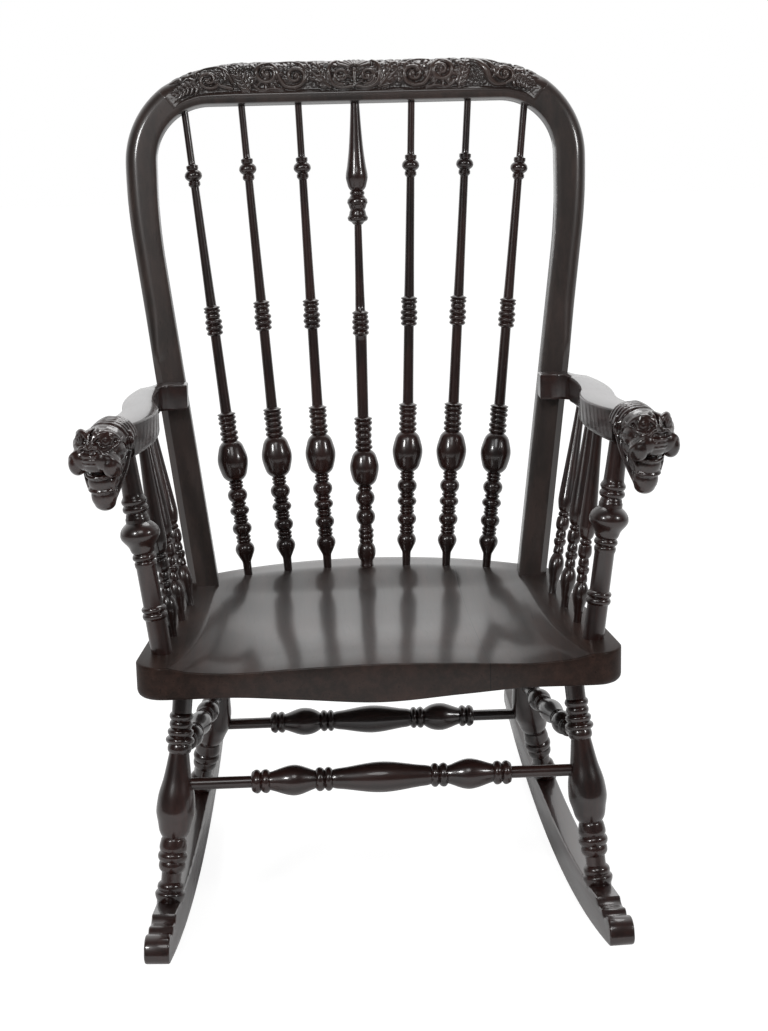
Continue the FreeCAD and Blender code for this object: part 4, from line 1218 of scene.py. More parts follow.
@dataclass
class BentHoop:
    """The steam-bent hoop with its bevelled posts, tongue-shaped stops and rounded bow."""

    bench: Bench
    hoop: Hoop
    finish: Material
    pitch: float = 5.0
    crisp: float = 32.0
    tongue: float = 0.8
    tongue_run: float = 6.0
    corner_steps: int = 14
    back_flat: float = 8.0
    recess: float = 4.2
    carved_reach: float = 270.0
    recess_run: float = 7.0
    border: float = 8.0
    ease: float = 1.6
    plug: tuple = ((0.0, 5.6), (1.1, 5.4), (1.9, 4.3), (2.4, 2.6), (2.6, 1.0))
    plug_heights: tuple[float, float] = (250.0, 268.0)
    plug_sunk: float = 0.6
    plug_proud: float = 2.0
    plug_steps: int = 24
    plug_crisp: float = 50.0

    def sunk(self, reach: float) -> float:
        """How far the plain surface lies below the carving's bed, from 0 to the recess."""
        share = min(max((self.carved_reach - abs(reach)) / self.recess_run, 0), 1)
        return self.recess * share * share * (3 - 2 * share)

    def corner(self, s: float) -> list[Vector]:
        """Worked outer front corner at a height, as points (inward, depth)."""
        hoop = self.hoop
        half = hoop.thickness / 2
        blend = min(max((s - hoop.stop_height) / hoop.stop_length, 0), 1)
        radius = hoop.bevel + (hoop.round_radius - hoop.bevel) * blend ** self.tongue
        points = []
        for k, (c, t) in enumerate(quarter_turn(self.corner_steps)):
            share = k / self.corner_steps
            flat = Vector((hoop.bevel * share, -half + hoop.bevel * (1 - share)))
            rounded = Vector((radius * (1 - c), -half + radius * (1 - t)))
            points.append(flat.lerp(rounded, min(blend * self.tongue_run, 1.0)))
        return points

    def section(self, s: float, width: float, sunk: float) -> list[Vector]:
        """Closed section of the hoop.

        Args:
            s: height above its foot.
            width: width in the hoop's plane.
            sunk: how far the carved field lies back.

        Returns:
            Its corners as (inward from the outer edge, depth).
        """
        half, ease = self.hoop.thickness / 2, self.ease
        worked = self.corner(s)
        flat_end = width - self.border
        turns = quarter_turn(self.corner_steps)
        hollow = [p + Vector(way) * sunk for p, way in zip(worked, turns)]
        return [Vector(point) for point in (
            (ease, half), (0.5, half - 0.5), (0, half - ease), (0, half - self.back_flat), *hollow,
            ((worked[-1].x + flat_end) / 2, -half + sunk), (flat_end - 0.5, -half + sunk),
            (flat_end, -half), (width - ease, -half), (width - 0.5, -half + 0.5),
            (width, -half + ease), (width, half - ease), (width - 0.5, half - 0.5),
            (width - ease, half))]

    def path(self, pitch: float) -> list[tuple[Vector, Vector, float, float]]:
        """Outer edge from the left foot over the crest to the right foot.

        Args:
            pitch: distance between stations.

        Returns:
            Point, way inward, width and distance from the crest's middle for every station.
        """
        right = self.hoop.outer(pitch)
        reach = [0.0]
        for one, two in zip(right[::-1], right[-2::-1]):
            reach.append(reach[-1] + (one[0] - two[0]).length)
        stations = [(p, w, self.hoop.width_from(p, w), r) for (p, w), r in zip(right, reach[::-1])]
        left = [(Vector((-p.x, p.y)), Vector((-w.x, w.y)), wide, -r) for p, w, wide, r in stations]
        return left + stations[-2::-1]

    def build(self) -> None:
        """Builds the hoop, and the domed plugs over the arms' screws on the back of its posts."""
        rings = []
        for point, way, width, reach in self.path(self.pitch):
            spots = [(point + way * spot.x, spot.y)
                     for spot in self.section(point.y, width, self.sunk(reach))]
            rings.append([self.bench.on_hoop(at.x, depth, at.y) for at, depth in spots])
        bm = bmesh.new()
        bridge_all(bm, rings)
        add_piece(bm, "steam_bent_hoop", self.finish, ("bent_hoop",), self.crisp)
        bm = bmesh.new()
        half = self.hoop.thickness / 2
        for _, side in SIDES:
            for s in self.plug_heights:
                x = side * self.hoop.edge_at(self.hoop.post_width / 2, s)
                spun(bm, list(self.plug), self.bench.on_hoop(x, half - self.plug_sunk, s),
                     self.bench.on_hoop(x, half + self.plug_proud, s), self.plug_steps)
        add_piece(bm, "arm_screw_plugs", self.finish, (), self.plug_crisp)


# ---- carving ---------------------------------------------------------------------------------


@dataclass
class CrestCarving:
    """Scrolls, leaves and a shell carved into the hoop's crest, as a height field over its round.

    Places on it are (across, down): millimetres along the crest from its middle, and millimetres
    round the section from the top of the worked corner. Each form is drawn on the sides it names.
    """

    BOTH, LEFT, RIGHT = Flank

    bench: Bench
    bent: BentHoop
    finish: Material
    pitch: float = 1.5
    crisp: float = 180.0
    bed: float = 3.6
    across: int = 720
    down: int = 70
    reach: float = 272.0
    rows: tuple[float, float] = (-4.0, 58.6)
    proud: float = 0.9
    end_lift: float = 0.06
    boldness: float = 1.7
    ground: float = 0.10
    # Tones for the finish: at the ground's tone the finish paints shade in the hollows; the plain
    # hoop's tone gets no painted shade
    plain_tone: float = 0.45
    ground_tone: float = 0.18
    fade_across: tuple[float, float] = (238.0, 30.0)
    fade_down: tuple[float, float] = (49.0, 6.0)
    bed_ease: tuple[float, float, float] = (3.0, 11.0, 0.2)
    edge_runs: tuple[float, float] = (3.0, 1.6)
    edge_drop: float = 5.0
    step: float = 0.55
    rib: tuple[float, float] = (1.9, 1.2)
    lobe: tuple[float, float] = (1.3, 2.0)
    trail_rib: tuple[float, float, float] = (1.8, 0.9, 0.85)
    trail_lobe: tuple[float, float, float, float] = (1.6, 1.3, 0.85, 0.5)
    trail_reach: float = 13.0
    button: tuple = (0, 25.5, 4.2, 1.1)
    dot_count: int = 60
    dot_patch: tuple = ((155, 176), (20, 48))
    dot: tuple[float, float] = (0.9, 0.38)
    filler_across: tuple[float, float, float] = (-238.0, 239.0, 6.8)
    filler_down: tuple[float, float, float] = (5.0, 46.0, 6.0)
    filler_free: tuple = ((150, 178), (16, 50))
    filler_limit: float = 0.12
    # sides, half width at both ends, height, swell, places
    strokes: tuple = (
        (RIGHT, 2.2, 1.2, 0.9, 0.0, ((0, 29), (0, 37), (0, 47))),
        (BOTH, 2.3, 2.0, 1.0, 0.0, ((4, 47), (17, 49), (29, 43), (34, 30), (32, 16), (24, 7))),
        (BOTH, 1.4, 1.0, 0.8, 0.0, ((3, 44), (10, 41), (14, 46))),
        (BOTH, 2.1, 2.0, 1.0, 0.0,
         ((79, 47.5), (92, 45), (100, 34), (104, 22), (112, 11), (125, 9))),
        (BOTH, 1.8, 1.5, 0.9, 0.0, ((66, 26), (72, 13), (86, 6), (100, 9))),
        (BOTH, 1.6, 1.4, 0.85, 0.0, ((96, 50), (110, 48), (124, 50), (134, 44))),
        (LEFT, 2.2, 2.0, 0.95, 0.0, ((168, 46), (178, 43), (186, 39))),
        (LEFT, 2.1, 1.6, 0.95, 0.0, ((165, 38), (172, 22), (184, 11), (200, 8), (214, 14))),
        (RIGHT, 2.6, 2.0, 1.0, 0.8,
         ((152, 8), (166, 12), (178, 24), (186, 38), (197, 46), (210, 44))),
        (RIGHT, 2.0, 1.4, 0.9, 0.6, ((160, 4), (176, 9), (188, 20), (194, 32))),
        (RIGHT, 1.8, 1.3, 0.85, 0.4, ((168, 2), (184, 5), (196, 12))))
    # sides, eye, outer radius, turns, first angle, sense, half width
    spirals: tuple = (
        (BOTH, (17, 33), 11.5, 1.3, 100, -1, 1.8), (BOTH, (79, 32), 14.5, 1.45, 90, 1, 2.1),
        (BOTH, (116, 27), 16.5, 1.55, -90, 1, 2.3), (LEFT, (198, 29), 15.0, 1.45, 140, -1, 2.2),
        (RIGHT, (205, 28), 14.5, 1.45, 60, -1, 2.2))
    # sides, root, bend, tip, lobe length, lobes, height, sides with lobes
    leaves: tuple = (
        (BOTH, (33, 48), (45, 32), (50, 6), 8.5, 5, 0.95, (1, -1)),
        (BOTH, (38, 44), (54, 30), (66, 8), 6.5, 4, 0.85, (1,)),
        (LEFT, (142, 50), (151, 36), (163, 14), 9.0, 5, 0.95, (1, -1)),
        (LEFT, (140, 46), (146, 28), (146, 8), 7.0, 4, 0.85, (-1,)),
        (RIGHT, (140, 50), (146, 32), (150, 8), 8.0, 5, 0.9, (1, -1)))
    # sides, ribs, first angle, step, centre and radii of the foot and of the tip, widths, height
    fans: tuple = (
        (RIGHT, 9, -160, 17.5, (0, 23, 6.0, 6.0), (0, 23, 21.0, 19.5), 1.0, 2.3, 0.95),
        (BOTH, 4, 20, 36, (17, 22, 12.5, 12.5), (17, 26, 8, 8), 1.5, 1.0, 0.8),
        (BOTH, 5, 20, 32, (116, 27, 17.5, 17.5), (116, 27, 24, 22), 1.7, 1.2, 0.8),
        (BOTH, 4, 210, 36, (79, 33, 15.5, 15.5), (79, 33, 20, 20), 1.5, 1.0, 0.8))
    # side, pairs of lobes, places
    trails: tuple = (
        (LEFT, 7, ((214, 38), (228, 33), (242, 34), (262, 40))),
        (RIGHT, 8, ((218, 36), (230, 31), (244, 33), (264, 42))))

    def __post_init__(self) -> None:
        """Lays out the grid of heights."""
        self.a = np.linspace(-self.reach, self.reach, self.across + 1)
        self.v = np.linspace(*self.rows, self.down + 1)
        self.field = np.zeros((self.down + 1, self.across + 1))

    def stamp(self, a: float, v: float, radius: float, height: float) -> None:
        """Presses one rounded spot into the field."""
        i0, i1 = np.searchsorted(self.a, (a - radius, a + radius))
        j0, j1 = np.searchsorted(self.v, (v - radius, v + radius))
        if i1 <= i0 or j1 <= j0:
            return
        da = self.a[i0:i1][None, :] - a
        dv = self.v[j0:j1][:, None] - v
        q = np.clip(1 - (da ** 2 + dv ** 2) / radius ** 2, 0, 1)
        window = self.field[j0:j1, i0:i1]
        np.maximum(window, height * np.sqrt(q), out=window)

    def stroke(self, sides: Flank, points: Sequence[tuple], start: float, end: float,
               height: float = 1.0, swell: float = 0.0) -> None:
        """Ridge along a smooth line.

        Args:
            sides: sides that it is drawn on.
            points: places that it passes through, for the right.
            start: half width at its start.
            end: half width at its end.
            height: share of the full relief.
            swell: extra half width in its middle.
        """
        pts = smooth_line(points, 8)
        where = np.concatenate([[0], np.cumsum(np.hypot(*np.diff(pts, axis=0).T))])
        for s in np.arange(0, where[-1] + 0.01, self.step):
            share = s / where[-1]
            a, v = np.interp(s, where, pts[:, 0]), np.interp(s, where, pts[:, 1])
            radius = start + (end - start) * share + swell * math.sin(math.pi * share)
            for side in sides.value:
                self.stamp(side * a, v, max(radius * self.boldness, 0.7), height)

    def spiral(self, sides: Flank, eye: tuple, outer: float, turns: float, start: float,
               way: int, width: float) -> None:
        """Scroll that winds in towards an eye.

        Args:
            sides: sides that it is drawn on.
            eye: place of its eye.
            outer: radius where it starts.
            turns: number of turns.
            start: angle where it starts, in degrees.
            way: 1 or -1, the sense it winds in.
            width: half width of the ridge.
        """
        count = int(turns * 16)
        places = []
        for share in (k / count for k in range(count + 1)):
            turn = math.radians(start) + way * share * turns * 2 * math.pi
            radius = outer * (1 - 0.80 * share)
            places.append((eye[0] + radius * math.cos(turn), eye[1] + radius * math.sin(turn)))
        self.stroke(sides, places, width, width * 0.8)
        for side in sides.value:
            self.stamp(side * eye[0], eye[1], width * 1.5, 1.0)

    def leaf(self, sides: Flank, root: tuple, bend: tuple, tip: tuple, width: float, lobes: int,
             height: float, lobe_sides: tuple) -> None:
        """Carved leaf with a mid rib and curling lobes.

        Args:
            sides: sides that it is drawn on.
            root: where it grows from.
            bend: a place that its rib passes.
            tip: where it ends.
            width: length of its widest lobes.
            lobes: lobes on each side of the rib.
            height: share of the full relief.
            lobe_sides: 1, -1 or both, the sides of the rib that have lobes.
        """
        self.stroke(sides, (root, bend, tip), *self.rib, height)
        first, last = np.array(root, float), np.array(tip, float)
        pull = 2 * np.array(bend, float) - (first + last) / 2
        for t in ((k + 0.6) / (lobes + 0.4) for k in range(lobes)):
            at = (1 - t) ** 2 * first + 2 * t * (1 - t) * pull + t ** 2 * last
            ahead = 2 * (1 - t) * (pull - first) + 2 * t * (last - pull)
            ahead = ahead / np.linalg.norm(ahead)
            beside = np.array([-ahead[1], ahead[0]])
            reach = width * math.sin(math.pi * (0.22 + 0.70 * t)) ** 0.7
            for sense in lobe_sides:
                mid = at + beside * sense * reach * 0.55 + ahead * reach * 0.25
                end = at + beside * sense * reach * 0.80 + ahead * reach * 0.80
                self.stroke(sides, (at, mid, end), *self.lobe, height * 0.88, 0.8)

    def fan(self, sides: Flank, ribs: int, first: float, step: float, foot: tuple, tip: tuple,
            start: float, end: float, height: float) -> None:
        """Fan of straight ribs.

        Args:
            sides: sides that it is drawn on.
            ribs: number of ribs.
            first: angle of the first one, in degrees.
            step: angle from one to the next.
            foot: centre and two radii of the line that the ribs start on.
            tip: the same for the line that they end on.
            start: half width at a rib's foot.
            end: half width at its tip.
            height: share of the full relief.
        """
        for turn in (math.radians(first + step * k) for k in range(ribs)):
            places = [(a + wide * math.cos(turn), v + tall * math.sin(turn))
                      for a, v, wide, tall in (foot, tip)]
            self.stroke(sides, places, start, end, height)

    def trail(self, sides: Flank, lobes: int, points: tuple) -> None:
        """Run of short lobes that die away towards the shoulder.

        Args:
            sides: sides that it is drawn on.
            lobes: number of pairs.
            points: line that the lobes follow, outwards.
        """
        self.stroke(sides, points, *self.trail_rib)
        a, v = zip(*points)
        for share in ((k + 0.5) / lobes for k in range(lobes)):
            at = a[0] + (a[-1] - a[0]) * share
            mid = float(np.interp(at, a, v))
            reach = self.trail_reach * (1 - 0.45 * share)
            for sense in (-1, 1):
                self.stroke(sides, ((at, mid + sense * 1.5), (at + 2.0, mid + sense * reach * 0.6),
                                    (at + 6.0, mid + sense * reach)), *self.trail_lobe)

    def dots(self) -> None:
        """Dotted ground on the right."""
        rng = np.random.default_rng(7)
        for _ in range(self.dot_count):
            self.stamp(*(float(rng.uniform(*ends)) for ends in self.dot_patch), *self.dot)

    def foliage(self) -> None:
        """Small curling leaves that fill the bare ground between the main forms."""
        rng = np.random.default_rng(11)
        (left, right), (upper, lower) = self.filler_free
        for a in np.arange(*self.filler_across):
            for v in np.arange(*self.filler_down):
                x, y = a + rng.uniform(-2.5, 2.5), v + rng.uniform(-2.0, 2.0)
                turn = math.radians(rng.uniform(-60, 60) - 60)
                length, height = rng.uniform(7.0, 13.0), rng.uniform(0.45, 0.80)
                bow = rng.uniform(-0.4, 0.4)
                here = self.field[np.searchsorted(self.v, y), np.searchsorted(self.a, x)]
                if here > self.filler_limit or (left < x < right and upper < y < lower):
                    continue
                way = np.array([math.copysign(math.cos(turn), x), math.sin(turn)])
                beside = np.array([-way[1], way[0]])
                start = np.array([x, y])
                mid = start + way * length * 0.5 + beside * length * bow
                self.stroke(self.RIGHT, (start, mid, start + way * length), 1.2, 1.8, height, 1.0)

    def draw(self) -> None:
        """Draws the whole pattern, the filling leaves last."""
        self.stamp(*self.button)
        for sides, start, end, height, swell, points in self.strokes:
            self.stroke(sides, points, start, end, height, swell)
        for method, table in ((self.spiral, self.spirals), (self.leaf, self.leaves),
                              (self.fan, self.fans), (self.trail, self.trails)):
            for row in table:
                method(*row)
        self.dots()
        self.foliage()

    def surface(self, width: float, v: float) -> tuple[Vector, Vector]:
        """Plain section under the carving.

        Args:
            width: width of the hoop there.
            v: distance down from the top of the worked corner.

        Returns:
            The place, and the way out of the wood there, as (inward, depth).
        """
        radius, half = self.bent.hoop.round_radius, self.bent.hoop.thickness / 2
        quarter = radius * QUARTER
        if v <= 0:
            return Vector((0, radius - half - v)), Vector((-1, 0))
        if v < quarter:
            c, s = math.cos(v / radius), math.sin(v / radius)
            return Vector((radius * (1 - c), radius * (1 - s) - half)), Vector((-c, -s))
        share = (v - quarter) / (self.rows[1] - quarter)
        flat = width - self.bent.border - radius
        return Vector((radius + flat * share, -half)), Vector((0, -1))

    def height_at(self, a: float, v: float, value: float, grain: float) -> tuple[float, float]:
        """Height and tone of one corner of the carving.

        Args:
            a: its place across.
            v: its place down.
            value: share of the relief drawn there.
            grain: the ground's roughness there.

        Returns:
            The height over the plain surface, and the tone for the finish, which paints shade on
            the low ground and a highlight on the raised forms.
        """
        fade = min(max((abs(a) - self.fade_across[0]) / self.fade_across[1],
                       (v - self.fade_down[0]) / self.fade_down[1], 0), 1)
        fade = fade * fade * (3 - 2 * fade)
        value *= 1 - fade
        above, run, least = self.bed_ease
        bed = self.bed * (1 - fade) * min(max((v + above) / run, least), 1)
        down, across = self.edge_runs
        edge = min((v - self.rows[0]) / down, (self.reach - abs(a)) / across, 1.0)
        height = (bed + self.proud) * value - bed + grain * (1 - value) * (1 - fade)
        shade = max(value, self.ground_tone)
        return (height + self.end_lift * fade - (1 - edge) * self.edge_drop,
                shade + (max(self.plain_tone, value) - shade) * fade)

    def build(self) -> None:
        """Builds the carved strip."""
        self.draw()
        grain = np.random.default_rng(3).normal(0, 1.0, self.field.shape)
        for axis in (0, 1, 0, 1):
            grain = (grain + np.roll(grain, 1, axis) + np.roll(grain, -1, axis)) / 3
        grain *= self.ground / grain.std()
        relief = np.clip(self.field, 0, 1.15)
        stations = sorted(self.bent.path(self.pitch), key=lambda station: station[3])
        lines = zip(*((p.x, p.y, math.atan2(w.x, -w.y), wide, reach)
                      for p, w, wide, reach in stations))
        *lines, reach = (np.array(column) for column in lines)
        xs, ys, turns, widths = (np.interp(self.a, reach, column) for column in lines)
        bm = bmesh.new()
        # The relief layer carries the tone that the finish turns into painted shade and painted
        # highlight
        tone = bm.verts.layers.float.new("relief")
        for vert in mapped_grid(bm, self.across, self.down, lambda u, v: Vector((u, v, 0))):
            i, j = round(vert.co.x * self.across), round(vert.co.y * self.down)
            a, v = float(self.a[i]), float(self.v[j])
            height, vert[tone] = self.height_at(a, v, float(relief[j, i]), float(grain[j, i]))
            place, way = self.surface(float(widths[i]), v)
            spot = place + way * height
            inward = Vector((math.sin(turns[i]), -math.cos(turns[i])))
            at = Vector((float(xs[i]), float(ys[i]))) + inward * spot.x
            vert.co = self.bench.on_hoop(at.x, spot.y, at.y)
        add_piece(bm, "crest_carving", self.finish, (), self.crisp)


@dataclass
class BeastHeads:
    """Carved beast heads at the arms' ends: brow, eyes, muzzle, open jaw and combed mane.

    Places on a head are (across, up, forward) from the middle of its joint, in millimetres. A
    lump beside the middle, and a cord that keeps to one side of it, are carved on both sides.
    """

    bench: Bench
    arm: ArmLine
    finish: Material
    voxel: float = 1.05
    crisp: float = 60.0
    joint_gap: float = 0.1
    arm_ends: tuple = ((1.66, 0.976), (0.862, 1.028))
    # centre, radii and tilt of each lump
    blobs: tuple = (
        # neck, skull, flat forehead and the throat that runs down into the jaw
        ((0, 3, 7), (24, 23.5, 12), 0), ((0, 2, 26), (27.5, 23.5, 23), 0),
        ((0, 9, 43), (26, 15.5, 19), 0), ((0, -17, 19), (20, 25, 16), 12),
        ((0, -35, 27), (16, 25, 15), 10),
        # bridge and tall muzzle
        ((0, 4, 58), (12, 8.5, 13), 0), ((0, -7, 57), (18, 14, 14.5), 0),
        ((0, -14, 55), (18.5, 12.5, 15), 0),
        # eye, cheek and the pads of the upper lip
        ((16.5, 13, 54), (8.0, 8.0, 6.5), 0), ((20.5, -2, 42), (10.5, 14, 17), 0),
        ((14, -8, 60), (12.5, 14, 12), 0), ((21.5, -15, 57), (10.5, 15, 14), 0),
        # lower jaw and the long smooth chin
        ((0, -38, 43), (16, 15, 15), 0), ((0, -56, 38), (15.6, 17, 14.5), -6),
        ((0, -64, 37), (13.2, 11, 12.5), 0))
    # radii and places of each cord
    cords: tuple = (
        # brow and the wrinkle beside it
        ((2.2, 3.2, 3.8, 3.4, 2.2),
         ((26.5, 8, 40), (24, 16.5, 48), (16.5, 21.5, 56), (9, 20, 60), (4, 14, 63.5))),
        ((1.6, 2.2, 2.0, 1.6), ((2.4, 25, 50), (3.4, 22, 60), (2.6, 13, 65), (3.5, 6, 69))),
        # fold under the eye, the lip that rolls out beside the mouth and the nostril
        ((1.6, 2.3, 2.5, 2.0, 1.2),
         ((8, 5, 67), (15, 2.5, 66.5), (23, 4.5, 59), (28.5, 10, 48), (28, 14, 38))),
        ((1.8, 2.6, 2.8, 2.8, 2.6, 1.8),
         ((15, 1.5, 68), (22, -3, 67), (28, -9, 62), (31.5, -17, 55), (28, -26, 51),
          (21, -28.5, 56))),
        ((1.6, 2.5, 2.5, 2.0), ((0, 3.5, 71), (5, 6.4, 70.5), (10, 5.6, 69.5), (14, 1.0, 68.5))),
        # corner of the mouth and the edge of the throat
        ((2.4, 3.0, 2.6, 1.8), ((22, -17, 40), (20.5, -28, 42), (17.5, -38, 45), (16, -48, 44))),
        ((3.0, 3.2, 3.0, 2.4), ((21, -8, 10), (19, -26, 17), (15.5, -44, 26), (12, -58, 32))),
        # curl of the ear
        ((2.6, 3.2, 3.0, 2.6, 2.2, 1.5),
         ((26, 15, 16), (29.5, 9, 19), (30, 2, 20), (27.5, -3, 18), (26.5, 3, 14), (28, 7, 16))),
        # two lips of the lower jaw
        ((1.8, 2.2, 2.4, 2.2, 1.8),
         ((-16, -28.5, 46), (-11, -30.5, 56), (0, -31.5, 60), (11, -30.5, 56), (16, -28.5, 46))),
        ((2.0, 2.4, 2.5, 2.4, 2.0),
         ((-16, -46, 41), (-11, -48.5, 50.5), (0, -49.5, 54.5), (11, -48.5, 50.5),
          (16, -46, 41))))
    # centre, radius and thickness of the cords round the eye, and the way that they face
    eye_rings: tuple = (((17.0, 13.2, 59.4), 6.2, 1.5), ((17.2, 13.2, 60.4), 2.6, 1.1))
    eye_way: tuple[float, float, float] = (0.42, 0.10, 0.90)
    nose_wrinkles: tuple = ((-3.4, 72.4), (-8.2, 72.2), (-13.0, 70.8))
    mane: tuple = (1.5, 6.5, 11.5, 16.5, 21.5)
    mane_top: float = 28.6
    mane_fall: float = 0.22
    smoothings: int = 2

    def frame(self, side: int) -> Matrix:
        """Stand of one head in the floor frame."""
        outer, inner = (self.arm.place(*end) * Vector((side, 1)) for end in self.arm_ends)
        middle = (outer + inner) / 2
        way = (outer - inner).normalized()
        ahead, up = Vector((way.y * side, -way.x * side, 0)), Vector((0, 0, 1))
        z = self.arm.underside(middle.y) + (self.arm.thickness - self.arm.drop) / 2
        base = Vector((middle.x, middle.y, z)) + ahead * self.joint_gap
        turn = Matrix((up.cross(ahead), up, ahead)).transposed().to_4x4()
        return self.bench.seat @ Matrix.Translation(base * MM) @ turn

    @staticmethod
    def blob(bm: Mesh, centre: tuple, radii: tuple, tilt: float, fine: int = 3) -> None:
        """Adds an egg-shaped lump, tilted about the line across the head."""
        ball = bmesh.new()
        bmesh.ops.create_icosphere(ball, subdivisions=fine, radius=1.0)
        stand = Matrix.Translation(centre) @ Matrix.Rotation(math.radians(tilt), 4, "X")
        ball.transform(stand @ Matrix.Diagonal((*radii, 1.0)))
        pour(ball, bm)

    def cord(self, bm: Mesh, points: Sequence[tuple], radii: Sequence[float],
             sides: int = 10) -> None:
        """Adds a tapering cord with round ends.

        Args:
            bm: the mesh.
            points: places that it passes through.
            radii: its radius at each place.
            sides: faces round it.
        """
        path = smooth_line(points, 5)
        width = np.interp(np.arange(len(path)) / 5, np.arange(len(radii)), radii)
        angles = [2 * math.pi * k / sides for k in range(sides)]
        rings = []
        for i, centre in enumerate(path):
            way = Vector(path[min(i + 1, len(path) - 1)] - path[max(i - 1, 0)])
            turn = way.to_track_quat("Z", "Y")
            rings.append([Vector(centre) + turn @ Vector((math.cos(a), math.sin(a), 0)) * width[i]
                          for a in angles])
        bridge_all(bm, rings)
        for end in (0, -1):
            self.blob(bm, tuple(path[end]), (width[end],) * 3, 0.0, 2)

    def ring(self, bm: Mesh, centre: tuple, way: tuple, radius: float, thick: float) -> None:
        """Adds a round cord, such as an eyelid.

        Args:
            bm: the mesh.
            centre: the cord's middle.
            way: direction that it faces.
            radius: radius to the cord's middle line.
            thick: radius of the cord.
        """
        turn = Vector(way).to_track_quat("Z", "Y")
        angles = [2 * math.pi * k / 9 for k in range(10)]
        points = [Vector(centre) + turn @ Vector((math.cos(a), math.sin(a), 0)) * radius
                  for a in angles]
        self.cord(bm, points, [thick] * len(points), 8)

    def lumps(self, bm: Mesh) -> None:
        """Builds one head out of overlapping lumps, in millimetres."""
        for (across, up, ahead), radii, tilt in self.blobs:
            for side in (-1, 1) if across else (1,):
                self.blob(bm, (side * across, up, ahead), radii, tilt)
        cords = list(self.cords)
        for k, ahead in enumerate(self.mane):
            top = self.mane_top - self.mane_fall * k * k
            cords.append(((2.5, 2.6, 2.6, 2.4, 1.5), (
                (0, top, ahead + 3), (9, top - 0.6, ahead + 2.0), (18, top - 5.5, ahead + 0.5),
                (25, 15 - k, ahead + 0.5), (28, 8 - 0.5 * k, ahead * 0.8 + 3))))
        for up, ahead in self.nose_wrinkles:
            cords.append(((1.2, 1.7, 1.9, 1.7, 1.2), (
                (-12.5, up - 1.0, ahead - 6), (-6.5, up - 0.4, ahead - 1), (0, up, ahead),
                (6.5, up - 0.4, ahead - 1), (12.5, up - 1.0, ahead - 6))))
        for radii, points in cords:
            for side in (1,) if points[0][0] < 0 else (-1, 1):
                self.cord(bm, [(side * x, y, z) for x, y, z in points], radii)
        for side in (-1, 1):
            way = (side * self.eye_way[0], *self.eye_way[1:])
            for (across, up, ahead), radius, thick in self.eye_rings:
                self.ring(bm, (side * across, up, ahead), way, radius, thick)

    def build(self) -> None:
        """Builds one head, smooths it and stands a copy on each arm."""
        bm = bmesh.new()
        self.lumps(bm)
        mesh = bpy.data.meshes.new("head_lumps")
        bm.to_mesh(mesh)
        bm.free()
        lump = bpy.data.objects.new("head_lumps", mesh)
        bpy.context.scene.collection.objects.link(lump)
        modifier = lump.modifiers.new("wrap", "REMESH")
        modifier.mode = "VOXEL"
        modifier.voxel_size = self.voxel
        shaped = bpy.data.meshes.new_from_object(
            lump.evaluated_get(bpy.context.evaluated_depsgraph_get()))
        bpy.data.objects.remove(lump)
        bpy.data.meshes.remove(mesh)
        for name, side in SIDES:
            head = bmesh.new()
            head.from_mesh(shaped)
            for vert in head.verts:
                vert.co.z = max(vert.co.z, 0.0)
            for _ in range(self.smoothings):
                bmesh.ops.smooth_vert(head, verts=head.verts, factor=0.5, use_axis_x=True,
                                      use_axis_y=True, use_axis_z=True)
            head.transform(self.frame(side) @ Matrix.Scale(MM, 4))
            add_piece(head, f"{name}_beast_head", self.finish, (f"{name}_carved_head",), self.crisp)
        bpy.data.meshes.remove(shaped)


# ---- studio ----------------------------------------------------------------------------------


